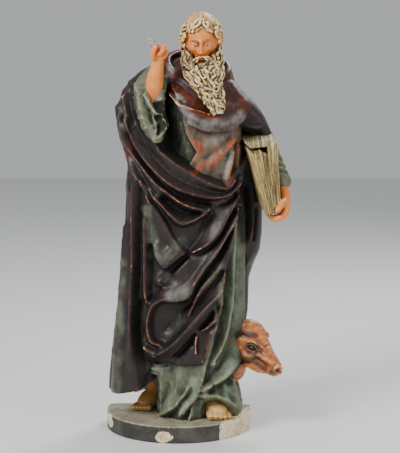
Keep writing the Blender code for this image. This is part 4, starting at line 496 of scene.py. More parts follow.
def cloak():
    c = Column([(40, -134, 108, -40, 74, 22, 2.2, 3.2), (77, -133, 108, -44, 74, 22, 2.2, 3.0),
        (111, -131, 112, -48, 74, 20, 2.2, 3.0), (146, -127, 116, -54, 74, 16, 2.2, 3.0),
        (213, -119, 122, -60, 74, 12, 2.2, 2.9), (278, -111, 124, -66, 74, 10, 2.2, 2.8),
        (346, -105, 124, -66, 73, 10, 2.2, 2.7), (417, -99, 124, -64, 72, 10, 2.2, 2.7),
        (450, -98, 124, -68, 71, 10, 2.2, 2.6), (477, -97, 124, -68, 70, 10, 2.2, 2.6),
        (515, -91, 122, -62, 70, 8, 2.2, 2.6), (536, -96, 118, -58, 68, 8, 2.2, 2.6),
        (564, -105, 112, -56, 67, 8, 2.5, 2.6), (593, -111, 108, -54, 66, 6, 2.8, 2.6),
        (624, -116, 104, -50, 64, 6, 2.8, 2.6), (646, -104, 98, -42, 60, 8, 2.6, 2.5),
        (670, -86, 80, -24, 54, 12, 2.2, 2.3), (690, -66, 60, -4, 46, 16, 2.0, 2.1),
        (704, -46, 40, 4, 40, 20, 2.0, 2.0)], gain=1.25)
    f = c.fold
    # the roll across the chest
    f(8, -80, 655, -74, 620, -67, 603, -56, 588, -41, 561, -31, 544, -15, 531, 11, 513, 36, 498, 71, 480,
        90, 476, 102, 490)
    f(0, -76, 600, -63, 568, -46, 538, -20, 510, 5, 494, 36, 481, 68, 470, 94, 472, 110, 494)
    f(12, -91, 605, -85, 583, -76, 559, -58, 531, -33, 503, -6, 481, 28, 468, 59, 461, 86, 463, 105, 480,
        118, 504, 123, 530)
    f(-10, -88, 575, -74, 540, -56, 515, -34, 491, -8, 470, 20, 458, 48, 452, 74, 451, 98, 458, 114, 474,
        124, 500)
    f(10, -104, 610, -97, 583, -90, 553, -68, 524, -40, 490, -16, 470, 4, 454, 24, 444, 44, 438)
    # pocket fold under it
    f(-4, -92, 545, -78, 512, -60, 486, -44, 466)
    f(-12, -30, 458, -16, 448, 4, 436, 22, 430, 40, 432)
    c.ledge(10, -3, -9, -66, 492, -46, 464, -31, 450, -12, 428, 5, 413, 21, 415, 42, 427, 58, 440)
    f(-4, 10, 398, 22, 392, 36, 404)
    f(-6, 8, 385, 14, 372, 18, 366)
    # edge of the flap
    c.ledge(6, -5, 8, -91, 527, -67, 480, -50, 452, -28, 418, -12, 388, 4, 366, 13, 358)
    f(1, -70, 440, -50, 405, -36, 390, -20, 372)
    f(-1, -52, 410, -48, 370, -44, 345)
    f(7, -60, 440, -60, 360, -60, 290, -57, 262)
    f(-10, -50, 345, -48, 315, -52, 285)
    c.ledge(8, -12, -9, -41, 372, -37, 350, -31, 336, -24, 330, -12, 338, 2, 350, 12, 357)
    # planes falling from the right hip to the left knee, each lapping the next
    f(-9, 64, 436, 54, 412, 44, 392, 28, 368, 14, 350)
    c.ledge(11, -4, 9, 110, 470, 100, 448, 88, 425, 75, 398, 64, 384, 50, 372, 26, 360)
    f(1, 20, 345, 8, 335, -6, 318)
    c.ledge(13, -9, 10, 108, 436, 94, 404, 82, 382, 69, 359, 57, 342, 45, 325, 30, 301, 19, 279, 4, 270,
        -30, 270)
    f(3, 60, 362, 42, 338, 24, 312, 2, 296, -20, 292, -36, 296)
    f(-9, 14, 345, -4, 326, -22, 306, -42, 284, -54, 268)
    f(6, 108, 402, 96, 372, 84, 345, 68, 318, 50, 300, 36, 280, 26, 256, 20, 238)
    f(-5, 86, 322, 70, 296, 52, 274, 36, 256)
    # the long slanting roll
    f(14, 96, 340, 86, 300, 70, 276, 51, 257, 34, 237, 18, 217, -2, 194, -20, 176, -44, 161)
    f(-2, 44, 262, 24, 240, 6, 216, -12, 196, -26, 184)
    f(-12, 26, 262, 6, 246, -10, 226, -22, 210)
    f(3, 84, 272, 66, 250, 46, 226, 28, 206, 12, 186, -4, 168, -24, 155, -44, 152)
    f(-10, 66, 244, 48, 218, 30, 196, 14, 176, -4, 158)
    # upright fold at its left end and the small cuff
    c.ledge(9, -6, 9, -20, 268, -37, 264, -49, 252, -56, 220, -50, 190, -34, 182)
    f(-8, -62, 250, -66, 220, -64, 190)
    f(8, -64, 176, -52, 168, -38, 164)
    f(-3, -66, 186, -52, 179, -40, 176)
    f(0, -60, 160, -52, 154, -44, 152)
    # second layer with its lining edge
    c.ledge(5, -3, 7, 66, 262, 69, 242, 67, 226, 52, 214, 38, 206, 33, 192, 33, 165)
    f(-1, 52, 196, 50, 170, 48, 146)
    f(4, 24, 176, 18, 160, 12, 146)
    f(-3, 6, 160, 0, 150)
    f(5, 110, 430, 101, 390, 95, 359, 88, 330, 82, 300, 82, 270, 70, 214, 46, 146)
    # hanging panel on the left, with the deep gap beside it
    f(7, -96, 400, -99, 359, -103, 305, -107, 259, -112, 200, -116, 150, -118, 84)
    f(1, -88, 500, -88, 440, -89, 400, -90, 350, -94, 290, -97, 220, -101, 150, -104, 84)
    f(5, -82, 500, -84, 440, -84, 380, -84, 330, -87, 280, -90, 220, -88, 160, -78, 110, -74, 86)
    f(-13, -72, 480, -75, 440, -76, 400, -76, 350, -76, 300, -80, 278, -72, 262, -62, 258)
    f((-18, -20, -20, -18, -13, -10), -76, 262, -80, 215, -76, 180, -66, 150, -60, 120, -58, 84)
    # over the raised arm
    f(5, -101, 655, -99, 642, -94, 618, -88, 597, -80, 578)
    f(-4, -92, 650, -86, 622, -80, 600)
    f(-4, -108, 640, -103, 612, -100, 595)
    f(3, -113, 626, -111, 600, -106, 570, -99, 540, -94, 515)
    # back and sides
    for deg, h, lean in ((262, 3, 3), (253, -6, 4), (243, 7, 5), (232, -8, 5), (221, 7, 6), (209, -9, 5),
        (197, 8, 3), (185, -8, 1), (172, 7, -2), (160, -8, -4), (149, 8, -6), (138, -7, -8), (127, 6, -9),
        (117, -5, -10)):
        c.pleat((h * 1.1, h, h * 0.8, h * 0.5, h * 0.3), deg, 42, deg + lean * 0.5, 200, deg + lean, 350,
            deg + lean * 1.4, 480, deg + lean * 1.2, 600)
    c.pleat(-3, 277, 80, 274, 200, 272, 340, 272, 450)
    c.pleat(2, 268, 80, 267, 200, 266, 340, 266, 450)
    c.pleat(4, 300, 440, 292, 480, 284, 520, 276, 560, 268, 590)
    c.solve()
    edge = curveX([(126, 540), (124, 500), (117, 453), (108, 400), (100, 359), (90, 325), (84, 290),
        (84, 262), (71, 209), (47, 141), (40, 120)])
    top = rimOf(c, (-98, 664, -90, 668, -80, 664, -74, 624, -67, 606, -51, 584, -41, 564, -31, 547, -15,
        534, 11, 516, 36, 501, 71, 483, 89, 476, 105, 500, 118, 540), (-0.5, 700, -0.33, 700, -0.26, 690),
        (0.25, 560, 0.33, 690, 0.5, 700))
    low = rimOf(c, (-110, 78, -90, 84, -76, 89, -68, 98, -56, 140, -50, 147, -40, 150, -9, 146, 5, 141, 43,
        141, 60, 141), (-0.5, 60, -0.4, 60, -0.3, 70, -0.25, 77), (0.2, 120, 0.3, 60, 0.4, 56, 0.5, 60))

    def drop(turn, z):
        p = c.place(turn, z)
        front = (turn < 0.285) | (turn > 0.95)
        d = p[..., 0] - edge(z)
        far = np.clip((0.285 - turn) / 0.012, 0, 1)
        return np.where(front & (z < 505), -26 * ease(d / 9) * np.where(turn < 0.5, ease(far), 1), 0.0)

    def surface(turn, z):
        return drop(turn, z) + 2.2 * wrinkles(turn * 20 - z / 70, z / 64, 3) + 0.9 * wrinkles(turn * 44,
            z / 30, 5) - 0.9

    columnBody("cloak", "cloak", c, low, top, sizes["cloak"], surface, rim=3, foot=2, top=(10, 20, 560),
        bottom=(0, 20, 130))


def fall():
    c = Column([(34, 60, 108, 20, 78, 50, 2.2, 2.6), (110, 60, 110, 20, 78, 50, 2.2, 2.6),
        (170, 66, 122, 12, 78, 46, 2.2, 2.6), (230, 70, 131, 8, 76, 44, 2.2, 2.6),
        (292, 70, 132, 8, 76, 44, 2.2, 2.6), (322, 70, 141, 6, 76, 44, 2.2, 2.6),
        (346, 70, 152, 4, 74, 44, 2.2, 2.6), (380, 70, 156, 2, 72, 42, 2.2, 2.6),
        (460, 70, 156, 0, 70, 40, 2.2, 2.6), (520, 66, 158, 2, 68, 36, 2.2, 2.4),
        (560, 60, 152, 4, 62, 32, 2.1, 2.2), (600, 56, 138, 6, 56, 30, 2.0, 2.0),
        (640, 50, 112, 8, 48, 28, 2.0, 2.0)])
    f = c.fold
    f(4, 150, 560, 150, 460, 146, 380, 138, 345, 128, 320)
    f(-9, 124, 470, 126, 440, 128, 405, 124, 372)
    f(6, 137, 480, 138, 440, 139, 405, 136, 372)
    f(-8, 147, 430, 146, 400, 143, 370)
    f(-5, 124, 340, 126, 300, 127, 240)
    f(-6, 112, 470, 112, 400, 113, 300, 113, 200)
    f(2, 120, 420, 119, 340, 120, 260)
    for deg, h in ((92, 3), (112, -5), (132, 6), (152, -6), (172, 6), (192, -5)):
        c.pleat(h, deg, 34, deg, 200, deg, 400, deg, 570)
    c.solve(blur=2)
    columnBody("fall", "cloak", c, 34, 640, sizes["fall"], rim=4)


def cape():
    c = Column([(560, -78, 134, -56, 62, 4, 2.3, 2.5), (600, -80, 136, -60, 62, 4, 2.3, 2.5),
        (632, -78, 135, -58, 60, 4, 2.2, 2.4), (645, -74, 126, -54, 58, 4, 2.2, 2.3),
        (662, -64, 113, -48, 54, 6, 2.2, 2.2), (680, -46, 98, -38, 50, 8, 2.1, 2.1),
        (690, -30, 86, -28, 46, 10, 2.0, 2.0), (700, -10, 72, -16, 42, 12, 2.0, 2.0),
        (712, 8, 62, -8, 38, 14, 2.0, 2.0)], blur=5)
    f = c.fold
    f(-6, -24, 676, -14, 656, -2, 642, 10, 632)
    f(3, -12, 664, -4, 650, 2, 640)
    c.ledge(8, 2, 6, -3, 648, 3, 636, 16, 628, 30, 621, 44, 617, 58, 612)
    c.ledge(7, 1, -7, -14, 650, -4, 636, 8, 622, 24, 609, 40, 600)
    f(5, 58, 612, 80, 607, 104, 606, 120, 612)
    f(7, 44, 606, 60, 597, 84, 594, 104, 600)
    f(2, 20, 600, 38, 589, 60, 584, 84, 584, 104, 592)
    f(-3, 6, 612, 16, 602)
    f(-2, -14, 676, 8, 664, 30, 646, 60, 632, 96, 628)
    f(3, -20, 688, 2, 680, 24, 664)
    f(4, 128, 634, 118, 622, 110, 612)
    f(-1, 122, 640, 110, 626)
    f(1, 96, 676, 108, 656, 120, 642)
    f(-2, 84, 684, 96, 664, 106, 646)
    for deg, h in ((100, 0), (130, 3), (150, -2), (170, 3), (190, -3), (212, 3), (235, -2), (255, 2),
        (280, 0)):
        c.pleat((h, h, h * 0.5, 0), deg, 565, deg, 610, deg, 650, deg, 690)
    c.solve(blur=2)

    low = rimOf(c, (-60, 668, -23, 662, -8, 640, 4, 620, 16, 597, 35, 586, 52, 580, 74, 578, 100, 581, 120,
        598, 129, 612), (-0.5, 590, -0.4, 590, -0.3, 610, -0.25, 650), (0.25, 620, 0.3, 604, 0.5, 590))

    def crumple(turn, z):
        return 2.6 * wrinkles(turn * 14, z / 34, 6) - 0.9

    columnBody("cape", "cape", c, low, 712, sizes["cape"], crumple, rim=3, foot=3, top=(34, 10, 716),
        bottom=(25, 5, 640))
    # hood gathered at the nape, falling in nested folds to the two sides of the neck
    for j in range(4):
        d = 11 * j
        left = [(34, 56, 716 - d * 0.7), (2, 44, 720 - d * 0.9), (-17 - 3 * j, 18, 715 - d),
            (-20 - 3 * j, -4, 704 - d), (-10 - 3 * j, -22, 689 - d), (4 - j, -34, 674 - d)]
        right = [(34, 56, 716 - d * 0.7), (66, 46, 712 - d * 0.9), (88 + 3 * j, 24, 702 - d),
            (94 + 3 * j, 2, 692 - d), (88 + 2 * j, -16, 682 - d), (76 + j, -28, 672 - d)]
        for name, path in (("cowlLeft", left), ("cowlRight", right)):
            strand("%s%d" % (name, j), "cape", path, [8, 9, 7.5, 6.5, 5.5, 3.0], around=20, step=2.5,
                flat=0.7, grooves=0.0, face=(0, 0.3, 1))
    tube("cowlCore", "cape", [(-8, -10, 676), (-6, 12, 690), (6, 36, 696), (34, 48, 694), (64, 38, 690),
        (80, 12, 684), (80, -8, 674)], [10, 16, 18, 18, 17, 15, 10], around=28, step=4)


def habit():
    c = Column([(430, -30, 122, -50, 56, 4, 2.3, 2.5), (470, -30, 120, -52, 56, 4, 2.3, 2.5),
        (520, -30, 118, -50, 56, 4, 2.3, 2.5), (580, -30, 116, -46, 54, 4, 2.3, 2.5),
        (650, -34, 112, -40, 48, 4, 2.3, 2.4)])
    f = c.fold
    f(5, 112, 575, 102, 558, 78, 536, 54, 514, 44, 500)
    f(-2, 94, 566, 74, 548, 50, 530)
    f(5, 103, 540, 98, 515, 88, 480)
    f(-5, 96, 540, 86, 505, 80, 485)
    f(4, 114, 570, 111, 530, 108, 500)
    f(-5, 108, 556, 106, 520, 100, 490)
    f(1, 60, 575, 48, 560, 40, 545)
    f(3, 30, 560, 40, 540, 30, 520)
    f(-2, 64, 505, 58, 490)
    c.solve(blur=2)
    edge = curveX([(10, 600), (15, 576), (36, 542), (22, 520), (10, 500)])

    def drop(turn, z):
        p = c.place(turn, z)
        d = edge(z) - p[..., 0]
        front = (turn < 0.25) | (turn > 0.72)
        return np.where(front, -14 * ease(d / 5), -6.0) + 3.2 * wrinkles(turn * 18, z / 34, 2) - 1.1

    columnBody("habit", "habit", c, 440, 640, sizes["habit"], drop, top=(40, 5, 640), bottom=(40, 5, 440))
    t = Column([(490, -12, 60, -42, 40, 4, 2.3, 2.3), (560, -8, 60, -38, 40, 4, 2.3, 2.3),
        (610, -6, 60, -34, 36, 4, 2.3, 2.3)])
    t.fold(4, 12, 596, -2, 560, 6, 530)
    t.fold(-4, -8, 590, -12, 560, -8, 530)
    t.fold(-2, 16, 570, 18, 545, 10, 525)
    t.solve(blur=2)

    def crumple(turn, z):
        return 5.0 * wrinkles(turn * 18, z / 26, 3) - 1.5

    columnBody("innerTunic", "tunic", t, 490, 610, (200, 90), crumple)


def rightArm():
    # sleeve hanging from the raised forearm
    c = Column([(562, -44, -30, -70, -46, -56, 2.0, 2.0), (572, -54, -22, -74, -30, -50, 2.0, 2.0),
        (590, -68, -17, -78, -6, -42, 2.1, 2.0), (612, -76, -20, -80, 10, -36, 2.1, 2.0),
        (635, -80, -25, -80, 14, -34, 2.1, 2.0), (655, -80, -24, -76, 16, -32, 2.1, 2.0),
        (672, -76, -24, -66, 18, -28, 2.0, 2.0), (688, -64, -34, -52, 14, -22, 2.0, 2.0),
        (700, -54, -42, -40, 0, -20, 2.0, 2.0)], blur=5, gain=1.3)
    f = c.fold
    f(5, -75, 668, -72, 655, -66, 628, -61, 606, -54, 590)
    f(-4, -68, 668, -63, 650, -59, 630)
    f(6, -60, 650, -50, 634, -42, 618, -28, 613)
    f(-9, -50, 668, -46, 655, -42, 640, -36, 630)
    f(7, -25, 672, -30, 652, -36, 640)
    f(5, -27, 642, -28, 615, -20, 592)
    f(-7, -52, 622, -46, 602, -40, 588)
    f(-9, -36, 610, -34, 598, -32, 588)
    f(4, -40, 585, -38, 572, -36, 566)
    f(4, -44, 612, -42, 596, -38, 584)
    f(3, -62, 592, -54, 578, -46, 568)
    f(3, -24, 600, -24, 585, -30, 572)
    f(4, -70, 640, -66, 616, -58, 596)
    f(-3, -72, 652, -70, 630, -64, 606)
    f(-8, -46, 650, -40, 636, -33, 628)
    f(6, -34, 660, -31, 645, -30, 634)
    f(-3, -50, 618, -42, 610, -33, 606)
    f(3, -47, 592, -40, 598, -33, 600)
    f(6, -30, 606, -25, 592, -30, 580, -40, 570)
    f(-8, -33, 594, -32, 586, -36, 578)
    for deg, h in ((90, -3), (120, 3), (150, -3), (180, 0), (220, 3), (250, 0)):
        c.pleat(h, deg, 572, deg, 630, deg, 690)
    c.solve(blur=0)

    def crumple(turn, z):
        wide, small = wrinkles(turn * 9 + z / 34, z / 26, 7), wrinkles(turn * 18 - z / 50, z / 15, 2)
        return 5.0 * wide + 1.6 * small - 2.0

    columnBody("sleeve", "sleeve", c, 562, 700, sizes["sleeve"], crumple, rim=2, foot=2)
    # shoulder and upper arm under the cloak
    tube("upperArm", "cloak", [(-2, 20, 668), (-40, 14, 664), (-78, 0, 644)], [30, 34, 30], around=24,
        step=5)
    # forearm
    tube("forearm", "skin", [(-46, -44, 622), (-44, -56, 650), (-40, -64, 680), (-36, -70, 702),
        (-34, -74, 716)], [14, 16, 15, 11.5, 10], around=28, step=3, up=(0, 1, 0.1))
    # palm and bent fingers
    ball("palm", "skin", (-35, -76, 727), (13, 11, 16), (0, -8, 0))
    tube("thumb", "skin", [(-44, -84, 716), (-43, -90, 728), (-38, -93, 738)], [5, 5.4, 4.2], around=16,
        step=2)
    tube("ringFinger", "skin", [(-28, -78, 736), (-24, -88, 736), (-27, -94, 728), (-33, -92, 722)],
        [5.2, 5.2, 4.8, 4], around=16, step=2)
    tube("littleFinger", "skin", [(-24, -72, 732), (-20, -80, 728), (-23, -88, 720), (-30, -88, 716)],
        [4.6, 4.6, 4.2, 3.6], around=16, step=2)
    tube("forefinger", "stump", [(-42, -76, 732), (-46, -80, 744), (-50, -80, 753)], [5.6, 5.2, 4.0],
        around=16, step=2)
    tube("middleFinger", "stump", [(-37, -80, 734), (-40, -86, 742), (-43, -88, 748)], [5.4, 5.0, 3.6],
        around=16, step=2)


def leftArm():
    shoulder = tube("shoulderCloak", "cloak",
        [(84, 8, 640), (110, 8, 620), (134, 8, 598), (154, 6, 578), (172, 4, 562)], [30, 31, 27, 19, 8],
        around=72, step=1.6, up=(0, 1, 0.2))
    press(shoulder, [((104, -26, 588, 124, -26, 585, 142, -18, 585, 156, -8, 587), 4.5, 5.0),
        ((108, -22, 572, 130, -20, 570, 150, -12, 568), 8, -7.0),
        ((104, -24, 612, 124, -20, 603, 144, -12, 597), 7, -3.5),
        ((92, -26, 622, 112, -20, 622, 132, -10, 612), 5, 3.0),
        ((100, 30, 640, 130, 30, 612, 158, 20, 584), 8, 4.0), ((96, 36, 610, 130, 34, 590), 7, -4.0)])
    sleeve = tube("forearmSleeve", "sleeve", [(150, 22, 584), (165, 18, 556), (176, 8, 530), (188, -6, 500),
        (194, -14, 480)], [16, 18, 15.5, 15, 14], around=64, step=1.6, up=(0, 1, 0.2))
    press(sleeve, [((180, -6, 540, 196, 0, 526), 3.5, 2.5), ((178, -12, 526, 198, -6, 512), 4, 3.0),
        ((184, -18, 512, 204, -10, 500), 4, 3.5), ((180, -10, 533, 198, -4, 519), 3, -2.5),
        ((182, -16, 519, 202, -8, 506), 3, -2.5), ((186, -24, 502, 208, -14, 492), 4, 2.5),
        ((188, -22, 506, 206, -12, 497), 3, -2.5)])
    tube("cuff", "sleeve", [(190, -8, 494), (195, -14, 482), (197, -17, 474)], [15.5, 16.5, 12], around=40,
        step=2, up=(0, 1, 0.2), wave=lambda a, v: 1 + 0.05 * np.cos(5 * a))
    tube("handBack", "skin", [(193, -12, 484), (199, -20, 464), (199, -30, 446), (194, -38, 432)],
        [10, 12, 12.5, 9], around=40, step=2, up=(0, 1, 0.2), squash=0.8)
    for k in range(4):
        y = -46 + 13 * k
        tube("holdFinger%d" % k, "skin",
            [(201 - k, y + 8, 448 - 2 * k), (200 - k, y, 432 - 2 * k), (191, y - 2, 421 - k),
            (178, y - 1, 419 - k), (169, y, 424)], [5.6, 6.6, 6.2, 5.8, 4.2], around=20, step=1.6)
    tube("holdThumb", "skin", [(198, -28, 454), (194, -46, 448), (187, -58, 440), (182, -60, 434)],
        [6.5, 6.6, 5.6, 4], around=20, step=1.6)


def book():
    # closed book held head down under the arm: covers and three gatherings of leaves that gape at the top
    def slab(name, slot, swell, leaves, cuts, back, *corners):
        bm = bmesh.new()
        bmesh.ops.create_cube(bm, size=2)
        bmesh.ops.subdivide_edges(bm, edges=bm.edges, cuts=cuts, use_grid_fill=True)
        for v in bm.verts:
            u, d, w = v.co.x, v.co.y, v.co.z
            p = Vector((0, 0, 0))
            for deep in (-1, 1):
                for i, k, q in zip((-1, 1, -1, 1), (1, 1, -1, -1), corners):
                    place = Vector(q) + Vector(back) if deep > 0 else Vector(q)
                    p += place * (0.25 * (1 + i * u) * (1 + k * w) * (1 + deep * d) / 2)
            k = max(0.0, -d) ** 4
            p.y -= swell * k * (1 - u * u) * (1 - 0.5 * w * w)
            if leaves:
                p.y += k * leaves * (1.8 * math.sin(u * 6.3 + 1.7 * math.sin(2.3 * w + u))
                    + 1.0 * math.sin(u * 17 + 3.0 * math.sin(1.7 * w + 2 * u))
                    + 1.5 * wrinkles(u * 5.5 + w, w * 1.6, 4) - 0.6)
                p.z += max(0.0, w) ** 6 * leaves * 0.8 * math.sin(u * 11)
            v.co = p * mm
        put(bm, name, slot)

    # swell, height of the leaves, cuts, the way to the back; then the front corners: upper two, lower two
    cuts = sizes["book"]
    slab("leavesA", "book", 3, 1.0, cuts, (-14, 70, 14), (140, -54, 536), (156, -54, 543), (166, -56, 430),
        (175, -57, 426))
    slab("leavesB", "book", 2, 0.9, cuts, (-12, 66, 14), (155, -46, 542), (168, -40, 536), (172, -54, 430),
        (181, -53, 428))
    slab("leavesC", "book", 2, 0.9, cuts, (-10, 66, 14), (166, -47, 550), (178, -46, 556), (177, -54, 430),
        (188, -52, 430))
    slab("coverA", "book", 0, 0, 10, (-14, 76, 18), (132, -50, 541), (141, -57, 538), (164, -55, 424),
        (170, -60, 424))
    slab("coverB", "book", 0, 0, 10, (-10, 72, 14), (177, -50, 560), (184, -44, 560), (185, -57, 428),
        (191, -52, 432))
    slab("bookHead", "bookTop", 0, 0, 8, (-10, 60, 14), (122, -30, 560), (182, -44, 562), (134, -38, 548),
        (182, -46, 554))


def feet():
    # the one seen to the left: ankle under the cloak, toes toward the front left
    ankle = tube("ankleA", "foot", [(-40, 58, 106), (-44, 54, 84), (-48, 50, 62), (-50, 48, 44)],
        [14, 15.5, 18, 17], around=36, step=2.5, up=(0, 1, 0.2))
    press(ankle, [((-58, 38, 80), 6, 3.0), ((-46, 36, 96), 8, -1.5)])
    tube("footA", "foot", [(-46, 60, 50), (-54, 48, 52), (-64, 36, 47), (-72, 27, 41)], [17, 19, 16.5, 12],
        around=40, step=2.5, squash=1.1)
    for k in range(5):
        a = k / 4
        tube("toeA%d" % k, "foot", [(-80 + 25 * a, 36 - 6 * a, 42), (-85 + 27 * a, 27 - 5 * a, 41.5),
            (-87.5 + 28 * a, 21 - 4 * a, 38.5)], [6, 5.8 + 1.0 * a, 4.6 + 1.4 * a], around=18, step=1.5)
        ball("nailA%d" % k, "foot", (-86.5 + 28 * a, 18.5 - 4 * a, 41.5 + 0.6 * a),
            (3 + a, 2, 2.2 + 0.5 * a), sub=2)
    tube("footB", "foot", [(60, 20, 52), (66, -2, 52), (74, -22, 46), (79, -34, 41)], [20, 19.5, 17.5, 13],
        around=44, step=2.5, squash=1.15)
    for k in range(5):
        a = k / 4
        tube("toeB%d" % k, "foot", [(60 + 32 * a, -28 + 8 * a * a, 43 - 3 * a),
            (61 + 34 * a, -40 + 10 * a * a, 41.5 - 3 * a), (62 + 35 * a, -48 + 12 * a * a, 39 - 2 * a)],
            [8 - 1.6 * a, 7.8 - 2.2 * a, 6.4 - 1.8 * a], around=18, step=1.5)
        ball("nailB%d" % k, "foot", (62 + 35 * a, -51 + 12 * a * a, 42.5 - 3.2 * a),
            (4 - a, 2.2, 2.8 - 0.7 * a), sub=2)


def ox():
    ball("oxBody", "ox", (52, 52, 64), (54, 28, 40), (0, 6, 0))
    tube("oxNeck", "ox", [(66, 50, 84), (90, 46, 112), (104, 44, 138), (114, 40, 160)], [32, 30, 31, 32],
        around=36, step=4, up=(0, 1, 0))
    tube("oxChest", "ox", [(80, 34, 90), (96, 24, 104), (109, 15, 116), (114, 12, 134)], [16, 18, 19, 16],
        around=32, step=4, up=(0, 1, 0))
    skull = tube("oxHead", "ox", [(98, 48, 174), (110, 40, 174), (124, 30, 171), (137, 20, 166),
        (150, 12, 156), (163, 4, 143), (176, -2, 130), (186, -6, 122), (192, -8, 118)],
        [24, 34, 40, 41, 34.5, 27, 22, 17.5, 12], around=80, step=1.5, up=(0, 1, 0.0), squash=0.86)

    def q(*places):
        # marks were placed on a head nearer the front
        p = np.array(places, float).reshape(-1, 3)
        p[:, 1] += 11 * ease((170 - p[:, 0]) / 33)
        return p

    press(skull, [(q(140, -30, 168), 9, -12),
        (q(120, -26, 186, 132, -33, 185, 146, -32, 180, 157, -26, 170), 6, 10),
        (q(126, -31, 156, 139, -32, 153, 152, -29, 156), 5, 5.0),
        (q(150, -27, 158, 164, -22, 147, 178, -20, 137), 6, 5.5),
        (q(146, -27, 145, 162, -24, 133), 7.5, -8), (q(124, -26, 144), 13, 7),
        (q(110, -18, 166, 117, -24, 148), 6, -5), (q(150, -14, 190, 166, -6, 174), 8, -5),
        (q(172, -8, 166, 188, -12, 147), 6, 4), (q(190, -22, 123), 4.5, -11),
        (q(183, -22, 130, 190, -21, 132.5, 196, -16, 128), 3.6, 7),
        (q(182, -24, 119, 188, -24, 114.5), 3.8, 5),
        (q(198, -14, 113, 188, -23, 110, 174, -24, 112, 160, -24, 119), 2.6, -10),
        (q(190, -18, 104.5, 174, -21, 105.5, 160, -21, 113), 4.2, 6.5),
        (q(150, -22, 127, 134, -24, 132), 6, 5.5), (q(130, -28, 139, 148, -26, 134), 5, -5),
        (q(138, -30, 194, 150, -24, 187), 4, 4), (q(126, -26, 197, 136, -24, 201), 4, -4),
        (q(146, -28, 172, 154, -24, 166, 160, -22, 158), 4, -3)])
    jaw = tube("oxJaw", "ox", [(98, 36, 152), (116, 24, 147), (137, 9, 141), (156, -3, 131),
        (170, -8, 122)], [18, 22, 18, 14.5, 10], around=56, step=1.5, up=(0, 1, 0))
    press(jaw, [((120, 2, 130, 140, -8, 125, 158, -16, 119), 4, 3.5),
        ((112, 6, 140, 132, -6, 138), 6, -3.0), ((150, -14, 133, 166, -20, 122), 4, -2.5)])
    tube("oxForehead", "ox", [(104, 34, 184), (122, 20, 190), (138, 10, 189), (152, 4, 181), (164, 0, 168)],
        [12, 19, 21, 18, 12], around=56, step=1.5, up=(0, 1, 0))
    ball("oxEye", "oxEye", q(140, -23, 167)[0], (5.8, 6.6, 4.0), (0, 28, 0), sub=3)
    lids = (q(129, -25, 169, 134, -29.5, 174, 140, -31, 174, 147, -29, 169, 151, -25, 162),
        q(129, -25, 169, 133, -28.5, 163.5, 140, -29.5, 160.5, 147, -27.5, 160, 151, -25, 162))
    for j, path in enumerate(lids):
        strand("oxLid%d" % j, "ox", path, [0.8, 1.5, 1.9, 1.5, 0.7], step=1.2, grooves=0)
    folds = (q(126, -27, 176, 134, -32, 180, 144, -32, 178, 154, -28, 168),
        q(128, -27, 160, 136, -29, 156, 146, -29, 154, 154, -27, 157),
        q(152, -26, 168, 160, -24, 158, 168, -22, 150), q(158, -22, 128, 170, -22, 118, 182, -24, 112))
    for j, path in enumerate(folds):
        strand("oxFold%d" % j, "ox", path, [0.8, 2.0, 2.2, 0.9], step=1.2, grooves=0)
    ball("oxBrowFar", "ox", (160, 22, 182), (11, 9, 9), (0, 30, 0), sub=3)
    poll = tube("oxPoll", "ox", [(112, 22, 192), (124, 14, 200), (138, 11, 201), (152, 12, 194),
        (160, 14, 184)], [9, 14, 15, 13, 8], around=56, step=1.5, up=(0, 1, 0))
    press(poll, [((108 + 7.3 * k, 2.2 * math.sin(1.9 * k), 209 - 0.16 * (k - 3) ** 2 - 7 * (k % 2)), 3.2,
        3.6 if k % 3 else -3.0) for k in range(8)]
        + [((112 + 6.1 * k, -2 + 2 * math.sin(2.7 * k), 197 - 0.3 * (k - 3) ** 2 + 3 * (k % 2)), 2.8,
        3.2 if (k + 1) % 3 else -3.0) for k in range(8)])
    tube("oxHorn", "ox", [(158, 10, 188), (166, 8, 188), (171, 8, 183)], [9, 7, 4], around=18, step=2,
        up=(0, 1, 0))
    tube("oxEar", "ox", [(132, 36, 192), (140, 48, 192), (146, 58, 186)], [7, 9, 4], around=20, step=3,
        squash=0.5)


tilt = Matrix.Rotation(math.radians(17), 3, "X") @ Matrix.Rotation(math.radians(-3.4), 3, "Y")
pivot = Vector((46, -16, 702))


def at(x, y, z):
    # a place on the bowed head, measured from the foot of the skull with the head upright
    return pivot + tilt @ Vector((x, y, z))


